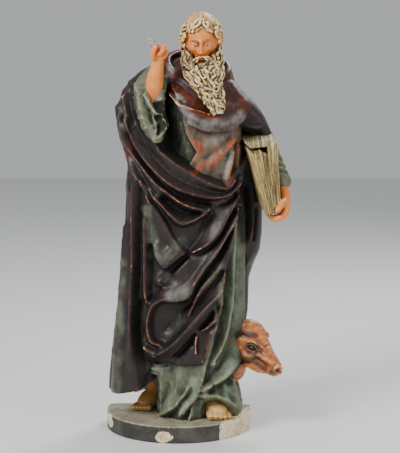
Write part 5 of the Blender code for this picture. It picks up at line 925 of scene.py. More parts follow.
def face():
    tube("neck", "skin", [(38, 14, 664), (42, 6, 690), (45, -6, 716)], [27, 24, 24], around=32, step=4,
        up=(0, 1, 0))
    bm = roundBlank(sizes["head"])
    for v in bm.verts:
        n = v.co.copy()
        x, y, z = n.x * 30.5, n.y * 40, n.z * 48
        if z < 0:
            x *= 1 - 0.26 * ease(-z / 48)
            y = y * (1 - 0.10 * ease(-z / 48))
        v.co = Vector((x, y * (0.94 if y < 0 else 1), z + 48))
    # x to both sides, z, width, height, push out
    marks = [(0, 47, 2.6, 9, 6.2), (0, 36.8, 3.4, 3.6, 9.6), (0, 41, 2.8, 5, 2.6),
        (4.6, 34.4, 2.2, 2.3, 4.4), (0, 31.6, 3, 1.6, -1.2), (11.5, 50, 6.8, 4.8, -6.4),
        (5.5, 50, 2.4, 4, -2.2), (11, 57.2, 8.5, 2.6, 3.4), (0, 58, 5, 3.4, 1.0), (0, 70, 17, 9, 1.2),
        (24, 58, 5, 8, -1.4), (16, 42, 6.0, 4.5, 3.4), (17, 30, 5, 6, -2.0), (10.5, 33, 2.6, 5, -0.9),
        (0, 24.0, 6.4, 1.5, 3.0), (0, 19.8, 5.2, 1.7, 3.2), (0, 21.9, 7.2, 0.8, -1.7),
        (0, 15.5, 5, 2, -1.2), (0, 8, 8, 5, 2.6)]
    for v in bm.verts:
        if v.co.y < 0:
            k = ease(-v.co.y / 18)
            d = 0.0
            for mx, mz, w, h, push in marks:
                for side in (-1, 1) if mx else (1,):
                    d += push * math.exp(-((v.co.x - side * mx) / w) ** 2 - ((v.co.z - mz) / h) ** 2)
            v.co.y -= d * k
    for v in bm.verts:
        v.co = at(*v.co) * mm
    put(bm, "skull", "skin")


def eyesAndEars():
    for side in (-1, 1):
        ball("eye%d" % side, "eye", at(side * 11.5, -30.6, 49.6), (6.4, 6.0, 5.8), sub=3)
        pupils.append(tuple(at(side * 11.2, -36.4, 47.9)))
        ball("lid%d" % side, "skin", at(side * 11.6, -30.3, 51.6), (7.7, 7.0, 5.0))
        ball("under%d" % side, "skin", at(side * 11.6, -30.2, 44.6), (7.6, 6.3, 3.4))
        for j in range(2):
            strand("brow%d_%d" % (side, j), "brow",
                [at(side * 4.0, -39.6, 56.4 + 1.6 * j), at(side * 8.5, -40.4, 58.8 + 1.2 * j),
                at(side * 13.5, -38.4, 59.8 + 0.6 * j), at(side * 19.5, -33.4, 57.4 - 0.4 * j)],
                [1.1, 1.8, 1.6, 0.7], step=1.2, grooves=0.3)
        ball("ear%d" % side, "skin", at(side * 33.5, -3, 46), (4.2, 6.5, 9.5), (0, side * 10, 0))
        helix = [at(side * 34, -6, 40), at(side * 37, -8, 47), at(side * 37.5, -4, 54),
            at(side * 36, 3, 55)]
        strand("helix%d" % side, "skin", helix, [1.0, 1.8, 2.0, 1.4], step=1.5, grooves=0)


def hair():
    # combed cap of hair
    bm = roundBlank(sizes["head"])
    for v in bm.verts:
        n = v.co.copy()
        ang = math.atan2(n.x, -n.y)
        away = 1 - n.z
        flow = 9 * ang + 1.9 * math.sin(4.2 * away + 2 * ang) + 1.2 * math.sin(5 * ang
            - 6 * away) + 3.0 * away
        lift = (4.6 * abs(math.cos(flow)) ** 0.8 + 1.7 * abs(math.cos(3.5 * flow + 1.0))
            + 2.0 * math.sin(8 * away + 3 * math.sin(3 * ang)) - 3.6) * min(1.0, 0.25 + 1.4 * away)
        x, y, z = n.x * (33.6 + lift), n.y * (42.5 + lift), n.z * (46 + lift * 0.8) + 53
        if y < 0:
            line = 79 - 15 * (x / 31) ** 2 + 2.0 * math.sin(x / 4.2 + 1)
            w = ease((line - z) / 6)
            y *= 1 - 0.42 * w
            x *= 1 - 0.10 * w
        v.co = at(x, y + 2, z) * mm
    put(bm, "hairCap", "hair")

    def hairLock(name, deg, z0, length, sway, waves, phase, hook, hand, radius, puff=0.0, lean=0.0):
        # a lock lying on the cap, hung from an angle round the head
        path, radii = [], []
        for u, w, t in lockPath(length, sway, waves, phase, hook, hand, 9):
            z = z0 - w
            k = math.sqrt(max(0.25, 1 - ((z - 53) / 50) ** 2)) if z > 53 else 1.0
            a = math.radians(deg) + (u + lean * w) / 36
            out = 2.2 + puff * t + 1.3 * math.cos(3.0 * t + phase)
            path.append(at(math.sin(a) * (33.6 * k + out), 2 - math.cos(a) * (41.5 * k + out), z))
            radii.append(radius * (0.8 + 0.2 * math.sin(math.pi * min(1, t * 1.6))) * (1 - 0.58 * t ** 2))
        a = math.radians(deg)
        strand(name, "hair", path, radii, step=sizes["lock"], grooves=0.45, ridges=2.5,
            face=tuple(tilt @ Vector((math.sin(a), -math.cos(a), 0))))

    # curls from one temple round the nape to the other, in rings
    n = 0
    rings = ((71, 12, 12, 4.6, 56, 2.6), (62, 14, 12, 4.8, 62, 4.0), (52, 13, 12, 4.6, 96, 4.0),
        (42, 12, 13, 4.6, 104, 3.4), (33, 12, 13, 4.2, 108, 2.4), (25, 10, 12, 3.8, 114, 1.5))
    for ring, (z0, count, length, radius, first, puff) in enumerate(rings):
        for j in range(count):
            place = j + (0.4 if ring % 2 and 0 < j < count - 1 else 0.0)
            deg = first + (360 - 2 * first) * place / (count - 1)
            k = 1.7 * j + 2.3 * ring
            lift = 6 if deg < 150 else 0
            hairLock("curl%d" % n, deg, z0 + lift + 2.0 * math.sin(k * 1.3),
                length * (0.9 + 0.25 * math.sin(k)), 3.4, 0.8, k, 4.0 + 0.8 * math.sin(2.1 * k),
                1 if (j + ring) % 2 else -1, radius, puff=puff)
            n += 1
    # locks over the forehead
    fringe = ((6, 96, 14, 3.4, 0.3, 1, -0.9, 3.6, 2.0), (-6, 96, 13, 3.0, 1.8, -1, -0.9, 3.4, 1.6),
        (17, 95, 13, 3.0, 2.6, -1, 0.2, 3.4, 1.4), (-18, 93, 12, 2.6, 2.2, -1, -0.5, 3.2, 1.2),
        (28, 90, 12, 2.6, 0.9, 1, 0.3, 3.2, 1.2), (-30, 89, 12, 2.6, 0.4, 1, -0.3, 3.2, 1.2))
    for j, (deg, z0, length, sway, phase, hand, lean, radius, hook) in enumerate(fringe):
        hairLock("fore%d" % j, deg, z0, length, sway, 0.6, phase, hook, hand, radius, puff=1.0, lean=lean)


def beard():
    # a core leaning to the right as it falls, with waving locks laid over it
    c = Column([(606, 70, 78, -81, -74, -77, 2, 2), (628, 56, 84, -84, -62, -73, 2, 2),
        (646, 44, 82, -84, -54, -69, 2, 2), (660, 32, 80, -82, -48, -64, 2, 2),
        (677, 19, 80, -79, -42, -58, 2, 2), (695, 10, 82, -73, -34, -50, 2, 2),
        (708, 9, 82, -66, -26, -42, 2.2, 2), (722, 12, 79, -56, -20, -36, 2.2, 2),
        (742, 14, 77, -36, -8, -24, 2.2, 2)], blur=5)

    def top(turn):
        return 738 - 42 * np.exp(-(signed(turn) / 0.085) ** 4)

    def locks(turn, z):
        # waving locks that part and close as they fall, each finely grooved
        s = signed(turn) * 250
        run = s / 10.5 + 0.62 * np.sin(z / 8.5 + 1.6 * np.sin(s / 13) + 0.8) + 0.30 * np.sin(z / 4.3
            + s / 6)
        k = np.floor(run + 0.5)
        ridge = np.abs(np.cos(math.pi * run)) ** 0.7
        fine = np.abs(np.cos(math.pi * (4 * run + 0.4 * np.sin(z / 5 + k)))) ** 0.8
        return 4.2 * ridge + 1.3 * fine + 1.6 * np.sin(z / 6.5 + 2.3 * k + 1.1 * np.sin(s / 9)) - 3.6

    columnBody("beardCore", "beard", c, 616, top, sizes["beard"], locks, top=(12, -20, 702))

    def beardLock(name, turn0, z0, length, sway, waves, phase, hook, hand, radius, drift=0.0):
        path, radii = [], []
        for u, w, t in lockPath(length, sway, waves, phase, hook, hand):
            z = max(614.0, z0 - w)
            half = max(9.0, 0.5 * float(c.frame(z)[1] - c.frame(z)[0]))
            turn = turn0 * (1 - 0.2 * t) + (u + drift * w) / (6.3 * half)
            p = c.place(np.array(turn), np.array(z),
                0.6 + 1.8 * math.cos(2 * math.pi * waves * t + phase * 1.7) + 1.2 * t)
            path.append(p)
            radii.append(radius * (0.72 + 0.28 * math.sin(math.pi * min(0.5, t * 1.8)))
                * (1 - 0.6 * t ** 1.8))
        strand(name, "beard", path, radii, step=sizes["lock"], flat=0.66, grooves=0.5, ridges=2.5)

    rows = ((742, 0.72, 1.04, 2, 18), (731, 0.60, 1.0, 2, 20), (719, 0.56, 1.0, 2, 20),
        (707, 0.5, 1.0, 2, 22), (700, 0.0, 0.2, 2, 18), (694, 0.4, 1.0, 3, 22), (682, 0.3, 1.0, 3, 22),
        (669, 0.3, 1.0, 3, 20), (656, 0.2, 1.0, 2, 20), (645, 0.0, 1.0, 3, 18), (636, 0.0, 0.7, 2, 14))
    n = 0
    for r, (z0, u0, u1, count, length) in enumerate(rows):
        spots = np.linspace(-u1, u1, count) if u0 == 0 else np.concatenate([-np.linspace(u0, u1, count),
            np.linspace(u0, u1, count)])
        for j, u in enumerate(spots):
            k = 2.4 * j + 1.7 * r
            shift = (0.06 if r % 2 else -0.06) + 0.05 * math.sin(3.1 * k)
            beardLock("beard%d" % n, 0.235 * (u + shift), z0 + 3 * math.sin(k),
                length * (0.9 + 0.25 * math.sin(1.9 * k)), 4.6 + 1.4 * math.sin(2.7 * k),
                1.1 + 0.25 * math.sin(1.3 * k), k, (2.8 + 0.7 * math.sin(1.1 * k)) if (j + r) % 3 else 1.6,
                1 if (j + r) % 2 else -1, 3.7 if r > 1 else 3.4)
            n += 1
    # the long ends
    longEnds = ((0.02, 642, 20, 1), (0.12, 648, 20, -1), (-0.10, 652, 16, -1), (0.05, 636, 12, -1))
    for j, (x, z0, length, hand) in enumerate(longEnds):
        beardLock("end%d" % j, x, z0, length, 4.0, 1.2, 1.1 * j, 2.4, hand, 3.2, drift=0.15)


def moustache():
    # short locks growing from under the lower lip, then five waves to each side over the upper one
    ball("chin", "skin", at(0, -38, 9), (12, 5.5, 8), sub=3)
    for j in range(7):
        x = 2.6 * (j - 3)
        tuft = [at(x, -42.5 + 0.16 * x * x / 2.6, 16.5 + 0.05 * x * x),
            at(x * 1.2 + 0.8 * math.sin(2.3 * j), -47.5 + 0.08 * x * x, 9),
            at(x * 1.5 - 1.2 * math.sin(2.3 * j), -49, 1), at(x * 1.9, -52, -9),
            at(x * 2.2 + math.sin(j), -53, -17)]
        strand("tuft%d" % j, "beard", tuft, [1.3, 2.3, 2.9, 2.7, 1.2], step=sizes["lock"], grooves=0.45,
            ridges=2.5)
    for side in (-1, 1):
        for j in range(5):
            k = 1.9 * j + side
            pts = [at(side * (0.8 + 1.1 * j), -42.6 + 0.5 * j, 30.6 - 0.5 * j),
                at(side * (5.5 + 1.2 * j), -44.4 + 0.5 * j + math.sin(k), 29.6 - 2.3 * j),
                at(side * (11.0 + 1.4 * j), -41.2 + 0.7 * j, 27.6 - 3.4 * j + math.sin(k)),
                at(side * (16.5 + 1.3 * j), -39.8 + math.sin(2 * k), 22.0 - 4.0 * j),
                at(side * (19.5 + 0.8 * j), -37.0, 15.0 - 4.2 * j),
                at(side * (17.0 + 1.6 * j), -40.4, 8.5 - 4.2 * j),
                at(side * (20.5 + 1.4 * j), -38.6, 3.5 - 4.2 * j)]
            strand("moustache%d_%d" % (side, j), "beard", pts, [0.9, 1.7, 2.1, 2.2, 2.1, 1.8, 0.8],
                step=sizes["lock"], grooves=0.45, ridges=2.5)


def shade(colour):
    # a colour as mixed on screen, turned to light values
    parts = [part / 255 for part in colour]
    return (*[p / 12.92 if p < 0.04045 else ((p + 0.055) / 1.055) ** 2.4 for p in parts], 1.0)


class Wire:
    # a socket that sums can be written with
    def __init__(self, finish, socket):
        self.finish, self.socket = finish, socket

    def __add__(self, other):
        return self.finish.maths("ADD", self, other)

    def __sub__(self, other):
        return self.finish.maths("SUBTRACT", self, other)

    def __rsub__(self, other):
        return self.finish.maths("SUBTRACT", other, self)

    def __mul__(self, other):
        return self.finish.maths("MULTIPLY", self, other)

    __radd__, __rmul__ = __add__, __mul__


class Finish:
    def __init__(self, name, coat=0.0, gleam=0.5):
        self.material = bpy.data.materials.new(name)
        self.material.use_nodes = True
        self.tree = self.material.node_tree
        self.shader = self.tree.nodes["Principled BSDF"]
        self.shader.inputs["Coat Weight"].default_value = coat
        self.shader.inputs["Specular IOR Level"].default_value = gleam
        self.shader.inputs["Coat Roughness"].default_value = 0.36
        self.place = self.node("ShaderNodeTexCoord", out="Object")

    def node(self, kind, settings=None, sockets=None, out=0):
        node = self.tree.nodes.new(kind)
        for key, value in (settings or {}).items():
            if key == "stops":
                ramp = node.color_ramp
                for k, (share, colour) in enumerate(value):
                    stop = ramp.elements[k] if k < len(ramp.elements) else ramp.elements.new(share)
                    stop.position, stop.color = share, colour
            else:
                setattr(node, key, value)
        for key, value in (sockets or {}).items():
            if isinstance(value, Wire):
                self.tree.links.new(value.socket, node.inputs[key])
            else:
                node.inputs[key].default_value = value
        return Wire(self, node.outputs[out])

    def maths(self, operation, *values):
        return self.node("ShaderNodeMath", {"operation": operation}, dict(enumerate(values)))

    def noise(self, size, detail=3.0, rough=0.55, stretch=None, move=(0, 0, 0), warp=0.0):
        # size in millimetres; stretch makes the grain longer along an axis
        where = self.place
        if stretch or any(move):
            where = self.node("ShaderNodeMapping", None,
                {"Vector": where, "Scale": stretch or (1, 1, 1), "Location": move})
        return self.node("ShaderNodeTexNoise", None,
            {"Vector": where, "Scale": 1000.0 / size, "Detail": detail, "Roughness": rough,
            "Distortion": warp})

    def within(self, value, low, high):
        return self.node("ShaderNodeMapRange", {"interpolation_type": "SMOOTHSTEP"},
            {"Value": value, "From Min": low, "From Max": high})

    def blend(self, share, first, second):
        first, second = [shade(c) if isinstance(c, tuple) else c for c in (first, second)]
        return self.node("ShaderNodeMix", {"data_type": "RGBA"}, {0: share, 6: first, 7: second}, 2)

    def over(self, share, colour):
        # the next layer of paint, where share lets it lie
        self.tone = self.blend(share, self.tone, colour)

    def hump(self, value, reach):
        # 0 at the middle, 1 at the reach, on upward
        far = value * (1.0 / reach)
        return far * far

    def mark(self, name):
        return self.node("ShaderNodeAttribute", {"attribute_name": name}, None, "Fac")

    def marks(self, *names):
        return [self.mark(name) for name in names]

    def relief(self, *layers):
        # (height, depth in millimetres) one over another
        normal = None
        for height, depth in layers:
            sockets = {"Height": height, "Distance": depth * mm, "Strength": 1.0}
            if normal:
                sockets["Normal"] = normal
            normal = self.node("ShaderNodeBump", None, sockets)
        self.tree.links.new(normal.socket, self.shader.inputs["Normal"])

    def colour(self, rough):
        self.tree.links.new(self.tone.socket, self.shader.inputs["Base Color"])
        if isinstance(rough, Wire):
            self.tree.links.new(rough.socket, self.shader.inputs["Roughness"])
        else:
            self.shader.inputs["Roughness"].default_value = rough


def paintedCloth(name, look):
    # oil paint over red ground over clay, rubbed through along the crests; painted shade in the hollows and
    # drawn shadows, painted highlight and sheen on the raised folds
    f = Finish(name, coat=look.get("coat", 0.16), gleam=0.32)
    fine, broad, hollow, crest = f.marks("fine", "broad", "hollow", "crest")
    clouds = f.noise(34, 3, 0.55, warp=0.4)
    strokes = f.noise(8, 4, 0.6, stretch=(1.0, 1.0, 0.3))
    flecks = f.noise(1.8, 3, 0.65)
    # deep colour in the recessed folds, body colour on the raised ones: painted shade, broken by clouds of
    # random tone
    depth = f.within(broad * 0.10 + clouds * 0.7 + strokes * 0.3, 0.25, 0.80)
    f.tone = f.blend(depth, look["deep"], look["body"])
    # lighter colour on the raised folds: painted highlight, broken by clouds of random tone
    f.over(f.within(broad * 0.12 + clouds * 0.35 + strokes * 0.35, 0.50, 1.05), look["light"])
    f.over(f.within(f.noise(20, 4, 0.6, move=(0.3, 0.1, 0.2)) + strokes * 0.2, 0.60, 0.78)
        * look.get("stainShare", 0.5), look["stain"])
    # pale patches along the drawn lines: partly grey paint, partly painted light and satin sheen
    pale = f.within(f.mark("pale") + (f.noise(7, 3, 0.55, move=(0.2, 0.2, 0.6)) - 0.5) * 0.5
        + (clouds - 0.5) * 1.2, 0.30, 1.20)
    f.over(pale * look.get("paleShare", 0.85),
        f.blend(f.within(strokes * 0.3 + clouds * 0.5 + broad * 0.04, 0.25, 0.62), look["paleLow"],
        look["paleHigh"]))
    bare = f.within(f.mark("bole") + (f.noise(13, 4, 0.55) - 0.5) * 1.3 + (strokes - 0.5) * 0.6, 0.40, 1.10)
    f.over(bare * look.get("bareShare", 0.7),
        f.blend(f.within(strokes, 0.35, 0.65), look["groundDark"], look["ground"]))
    # painted shade in the hollows and along the drawn shadow lines, with some grime
    paintedShadeAndGrime = f.within(hollow * 1.5 + f.mark("shadow") * 1.1 - fine * 0.35 - broad * 0.06 + (strokes - 0.5)
        * 0.5, 0.40, 1.15)
    f.over(paintedShadeAndGrime * look.get("paintedShadeAndGrimeShare", 0.85), look["paintedShadeAndGrime"])
    # painted shadow along the drawn shadow lines, laid once more
    f.over(f.mark("shadow") * 0.6, look["paintedShadeAndGrime"])
    ragged = (f.noise(17, 4, 0.6) - 0.5) * 0.9 + (flecks - 0.5) * 0.25
    edge = fine + f.within(crest, 0.05, 0.6) * 0.6 + ragged * (1 - crest * 0.45) + f.within(f.mark("seam"),
        0.45, 1.0) * 0.66
    ground = f.within(edge, look["groundFrom"], look["groundFrom"] + 0.4)
    rubbed = f.within(edge, look["rubbedFrom"], look["rubbedFrom"] + 0.42)
    f.over(ground * look.get("groundShare", 0.7), look["ground"])
    f.over(rubbed * look.get("rubbedShare", 0.92), look["rubbed"])
    chips = f.within(f.noise(9, 5, 0.75, move=(0.5, 0.7, 0.2)) + fine * 0.02, 0.745, 0.755)
    f.over(chips * look.get("chipShare", 0.8), look["rubbed"])
    rough = look["rough"] + (strokes - 0.5) * 0.3 + (flecks - 0.5) * 0.15 + rubbed * 0.2 + paintedShadeAndGrime * 0.2
    f.colour(rough)
    f.relief((f.noise(16, 3, 0.5), look.get("rumple", 0.5)), (strokes, 0.35), (flecks, 0.10),
        (1 - chips, 0.25), (1 - rubbed, 0.10))
    return f.material


cream = (230, 204, 164)
# in each look the darkest colour is painted shade for the hollows and drawn shadows; light and paleHigh
# also serve as painted highlight and sheen
clothLooks = dict(
    cloak=dict(deep=(20, 15, 13), body=(42, 33, 29), light=(78, 70, 62), stain=(60, 33, 25),
        ground=(112, 50, 34), groundDark=(84, 34, 22), rubbed=(216, 184, 150), rubbedShare=0.85,
        paleLow=(54, 54, 45), paleHigh=(104, 108, 92), paintedShadeAndGrime=(7, 5, 4), groundFrom=0.92, rubbedFrom=1.20,
        rough=0.48),
    cape=dict(bareShare=0.35, paleShare=1.0, deep=(42, 12, 3), body=(88, 29, 7), light=(114, 46, 20),
        stain=(52, 32, 24), ground=(160, 66, 34), groundDark=(116, 44, 22), rubbed=cream,
        paleLow=(66, 60, 56), paleHigh=(150, 146, 140), paintedShadeAndGrime=(12, 5, 3), groundFrom=0.92, rubbedFrom=1.16,
        rough=0.44),
    habit=dict(deep=(64, 48, 36), body=(116, 96, 76), light=(160, 146, 124), stain=(130, 84, 56),
        ground=(184, 84, 36), groundDark=(130, 50, 22), rubbed=cream, paleLow=(98, 95, 84),
        paleHigh=(160, 156, 140), paintedShadeAndGrime=(18, 11, 8), groundFrom=0.85, rubbedFrom=1.15, rough=0.48),
    tunic=dict(paintedShadeAndGrimeShare=0.6, rumple=2.2, deep=(62, 68, 54), body=(110, 116, 94), light=(164, 170, 142),
        stain=(112, 108, 80), ground=(134, 126, 94), groundDark=(84, 80, 56), rubbed=(200, 200, 160),
        paleLow=(92, 110, 90), paleHigh=(148, 164, 140), paintedShadeAndGrime=(9, 12, 8), groundFrom=0.80, rubbedFrom=1.15,
        rough=0.58, coat=0.05),
    sleeve=dict(paintedShadeAndGrimeShare=0.8, rumple=1.6, deep=(62, 66, 52), body=(112, 115, 92), light=(160, 163, 136),
        stain=(104, 106, 90), ground=(150, 142, 110), groundDark=(100, 96, 74), rubbed=(210, 204, 168),
        paleLow=(100, 108, 94), paleHigh=(154, 160, 142), paintedShadeAndGrime=(12, 13, 10), groundFrom=0.85,
        rubbedFrom=1.15, rough=0.58, coat=0.05))


def hairPaint(name, low, mid, high):
    f = Finish(name, coat=0.08)
    fine, broad, hollow = f.marks("fine", "broad", "hollow")
    strands = f.noise(3.2, 4, 0.6, stretch=(1.0, 1.0, 0.4))
    # raised strands lighter up to a near-white top, hollows darker: painted highlight and painted shade,
    # with random streaks
    height = fine * 1.5 + broad * 0.12 - hollow * 1.6 + (strands - 0.5) * 0.8 + (f.noise(26, 3, 0.5)
        - 0.5) * 1.1
    low, mid, high, top = map(shade, (low, mid, high, (255, 240, 192)))
    dark = tuple(0.35 * c for c in low[:3]) + (1.0,)
    f.tone = f.node("ShaderNodeValToRGB",
        {"stops": [(0.0, dark), (0.28, low), (0.52, mid), (0.80, high), (1.0, top)]},
        {"Fac": f.within(height, -2.3, 2.1)})
    f.colour(0.48 + (strands - 0.5) * 0.3)
    f.relief((strands, 0.5), (f.noise(1.4, 3, 0.6), 0.12))
    return f.material


def fleshPaint(name, look):
    f = Finish(name, coat=look.get("coat", 0.2))
    fine, broad, hollow = f.marks("fine", "broad", "hollow")
    clouds, small = f.noise(22, 3, 0.5), f.noise(5, 4, 0.6)
    f.tone = f.blend(f.within(clouds * 0.7 + small * 0.3, 0.35, 0.7), look["body"], look["warm"])
    # raised forms lighter: painted highlight
    f.over(f.within(fine * 0.5 + broad * 0.10 + (small - 0.5), 0.1, 1.4) * look.get("lit", 0.45),
        look["light"])
    f.over(f.mark("blush") * 0.7, look["blush"])
    # pale patches along the drawn lines: painted light
    f.over(f.within(f.mark("pale") + (small - 0.5) * 1.5, 0.2, 1.2) * 0.4, look["light"])
    # painted shade in the hollows
    f.over(f.within(hollow * 1.1 - fine * 0.8 - broad * 0.05 + (small - 0.5) * 0.6, 0.45, 1.5) * 0.9,
        look["deep"])
    spots = f.within(f.noise(6, 4, 0.75, move=(0.2, 0.4, 0.1)), 0.68, 0.71)
    f.over(spots * 0.5, look["light"])
    f.colour(look.get("rough", 0.44) + (small - 0.5) * 0.3)
    f.relief((small, 0.25), (f.noise(1.5, 3, 0.6), 0.06), (spots, 0.08))
    return f.material


# in each look the deep colour is painted shade for the hollows, the light colour painted highlight for the
# raised forms
fleshLooks = dict(
    skin=dict(body=(228, 128, 52), warm=(236, 146, 62), light=(255, 204, 124), blush=(206, 62, 28),
        deep=(116, 38, 10)),
    foot=dict(lit=0.95, coat=0.05, rough=0.6, body=(178, 134, 76), warm=(206, 140, 62),
        light=(255, 226, 150), blush=(180, 90, 40), deep=(44, 34, 22)),
    brow=dict(body=(128, 84, 42), warm=(140, 96, 52), light=(170, 128, 78), blush=(150, 100, 70),
        deep=(56, 30, 12)),
    iris=dict(body=(44, 28, 18), warm=(52, 34, 22), light=(84, 60, 40), blush=(50, 30, 20), deep=(14, 9, 6),
        coat=0.6, rough=0.3))


def eyePaint():
    f = Finish("eyePaint", coat=0.5)
    near = f.mark("pupil")
    f.tone = f.blend(f.within(f.noise(6, 3, 0.6), 0.35, 0.7), (232, 220, 190), (206, 186, 150))
    f.over(f.within(near, 0.46, 0.54), (84, 48, 22))
    f.over(f.within(near, 0.74, 0.80), (14, 9, 6))
    f.colour(0.35)
    return f.material


def brokenClay():
    # fired body showing where the fingers have gone
    f = Finish("brokenClay")
    grain, pits = f.noise(4, 5, 0.7), f.noise(1.5, 3, 0.6)
    f.tone = f.blend(f.within(grain, 0.35, 0.7), (112, 106, 94), (206, 200, 182))
    f.over(f.within(pits, 0.6, 0.75) * 0.5, (150, 104, 76))
    f.colour(0.8 + (pits - 0.5) * 0.2)
    f.relief((grain, 1.4), (pits, 0.5))
    return f.material


def parchment(name, low, high):
    # leaves seen edge on run along the book, stained and dog-eared
    f = Finish(name, coat=0.08)
    fine, broad, hollow = f.marks("fine", "broad", "hollow")
    stains, small = f.noise(18, 4, 0.6), f.noise(4, 4, 0.65)
    run = f.mark("leaf") + (f.noise(40, 2, 0.5) - 0.5) * 0.10 + (stains - 0.5) * 0.05 + (small
        - 0.5) * 0.035
    up = f.node("ShaderNodeSeparateXYZ", None, {0: f.place}, "Z")
    sheet = f.node("ShaderNodeCombineXYZ", None, {"X": run, "Y": up * 0.4})
    leaves = f.within(f.node("ShaderNodeTexNoise", None,
        {"Vector": sheet, "Scale": 52.0, "Detail": 3.0, "Roughness": 0.6}), 0.35, 0.65)
    sheets = f.within(f.node("ShaderNodeTexNoise", None,
        {"Vector": sheet, "Scale": 13.0, "Detail": 4.0, "Roughness": 0.7}), 0.36, 0.60)
    f.tone = f.blend(f.within(leaves * 0.55 + sheets * 0.45 + (small - 0.5) * 0.7, 0.15, 0.8), low, high)
    f.over(f.within(stains, 0.48, 0.75) * 0.55, (150, 118, 66))
    # raised edges lighter: painted highlight
    f.over(f.within(fine * 0.8 + broad * 0.1 + (small - 0.5), 0.5, 1.3) * 0.7, (244, 226, 172))
    # painted shade in the hollows
    f.over(f.within(hollow * 1.2 - fine * 0.6 - broad * 0.05 + (small - 0.5) * 0.5, 0.45, 1.3) * 0.9,
        (40, 26, 12))
    f.colour(0.55 + (small - 0.5) * 0.3)
    f.relief((leaves, 0.3), (sheets, 0.7), (stains, 0.5), (small, 0.4))
    return f.material


def oxPaint():
    f = Finish("oxPaint", coat=0.25)
    fine, broad, hollow = f.marks("fine", "broad", "hollow")
    hide, clouds, flecks = f.noise(5, 4, 0.65), f.noise(24, 3, 0.5), f.noise(1.8, 3, 0.6)
    f.tone = f.blend(f.within(clouds * 0.6 + hide * 0.4, 0.35, 0.7), (140, 66, 22), (200, 116, 52))
    # raised forms lighter: painted highlight
    f.over(f.within(fine * 0.8 + broad * 0.20 + (hide - 0.5) * 1.4, 0.0, 1.2), (250, 192, 118))
    f.over(f.within(f.noise(9, 5, 0.7, move=(0.4, 0, 0.3)) + fine * 0.05, 0.58, 0.70) * 0.75, (120, 44, 16))
    # painted shadow along the drawn lines round the eye, cheek and jaw
    f.over(f.within(f.mark("shadow") + (hide - 0.5) * 1.2 + (clouds - 0.5) * 0.8, 0.3, 0.95) * 0.88,
        (52, 24, 10))
    # painted shade in the hollows
    f.over(f.within(hollow * 1.1 - fine * 1.0 - broad * 0.16 + (hide - 0.5) * 1.0, 0.30, 1.2) * 0.92,
        (34, 15, 7))
    f.colour(0.42 + (hide - 0.5) * 0.3)
    f.relief((hide, 1.0), (flecks, 0.2), (clouds, 0.8))
    return f.material


def basePaint():
    # grey-green ground paint over clay, pale filler showing where it has been knocked
    f = Finish("basePaint", coat=0.04)
    fine = f.mark("fine")
    clouds, grain, flecks = f.noise(30, 4, 0.6), f.noise(5, 5, 0.65), f.noise(1.4, 3, 0.6)
    along, back, up = [f.node("ShaderNodeSeparateXYZ", None, {0: f.place}, axis) * 1000.0 for axis in "XYZ"]
    ragged = (clouds - 0.5) * 16.0 + (f.noise(9, 4, 0.6, move=(0.3, 0.3, 0.1)) - 0.5) * 14.0 + (grain
        - 0.5) * 5.0
    upper = f.within(up, 29.0, 31.0)
    f.tone = f.blend(upper, f.blend(f.within(clouds, 0.35, 0.7), (44, 43, 39), (76, 73, 66)),
        f.blend(f.within(clouds * 0.6 + grain * 0.4, 0.35, 0.7), (122, 116, 98), (168, 160, 136)))
    f.over(f.within(f.noise(12, 4, 0.7, move=(0.1, 0.5, 0.1)), 0.56, 0.74) * 0.5, (110, 88, 60))
    rim = f.within(fine + (grain - 0.5) * 1.2, 0.35, 0.8) * f.within(up, 26.0, 30.0)
    f.over(rim * 0.9, (204, 184, 142))
    # plaster shows at the whole right end, in a knock on the rounded front and in one at the left end
    big = f.within(along - back * 0.45 + ragged * 0.5, 106.0, 107.2) * f.within(66.0 - back + ragged, 10.0,
        11.0)
    small = f.within((1 - f.hump(along + 27.0, 17.0) - f.hump(up - 11.0, 11.0)) * 10.0 + ragged * 0.9, 0.0,
        0.5) * f.within(0 - back, 50.0, 51.0)
    left = f.within((1 - f.hump(along + 137.0, 12.0) - f.hump(up - 20.0, 16.0) - f.hump(back + 8.0, 34.0))
        * 10.0 + ragged * 0.9, 0.0, 0.5)
    specks = f.within(f.noise(6, 4, 0.7, move=(0.7, 0.2, 0.6)), 0.68, 0.69)
    chip = f.maths("MINIMUM", big + small + left + specks * 0.8, 1.0)
    plaster = f.blend(f.within(grain * 0.6 + clouds * 0.4, 0.35, 0.62), (176, 156, 100), (250, 240, 204))
    plaster = f.blend(f.within(f.noise(3, 4, 0.7), 0.58, 0.66) * 0.8, plaster, (120, 104, 66))
    f.over(chip, plaster)
    f.colour(0.66 + (grain - 0.5) * 0.3 + chip * 0.15)
    f.relief((clouds, 0.8), (grain, 0.7), (flecks, 0.25), (1 - chip, 0.9))
    return f.material


slotNames = ["cloak", "cape", "habit", "tunic", "sleeve", "skin", "stump", "hair", "beard", "brow", "book",
    "bookTop", "ox", "oxEye", "base", "foot", "eye", "iris"]
finishes = {name: paintedCloth(name + "Paint", look) for name, look in clothLooks.items()}
finishes.update({name: fleshPaint(name + "Paint", look) for name, look in fleshLooks.items()})
finishes.update(hair=hairPaint("hairPaint", (84, 60, 24), (176, 138, 78), (230, 194, 128)),
    beard=hairPaint("beardPaint", (70, 52, 22), (150, 122, 70), (226, 198, 140)),
    book=parchment("leafPaint", (96, 66, 28), (222, 196, 130)),
    bookTop=parchment("coverPaint", (96, 88, 56), (196, 182, 128)), stump=brokenClay(), eye=eyePaint(),
    ox=oxPaint(), oxEye=finishes["iris"], base=basePaint())
print("finishes made")


def evaluated(ob):
    # the object's mesh with its modifiers applied
    graph = bpy.context.evaluated_depsgraph_get()
    me = bpy.data.meshes.new_from_object(ob.evaluated_get(graph), depsgraph=graph)
    ob.modifiers.clear()
    ob.data = me
    return me


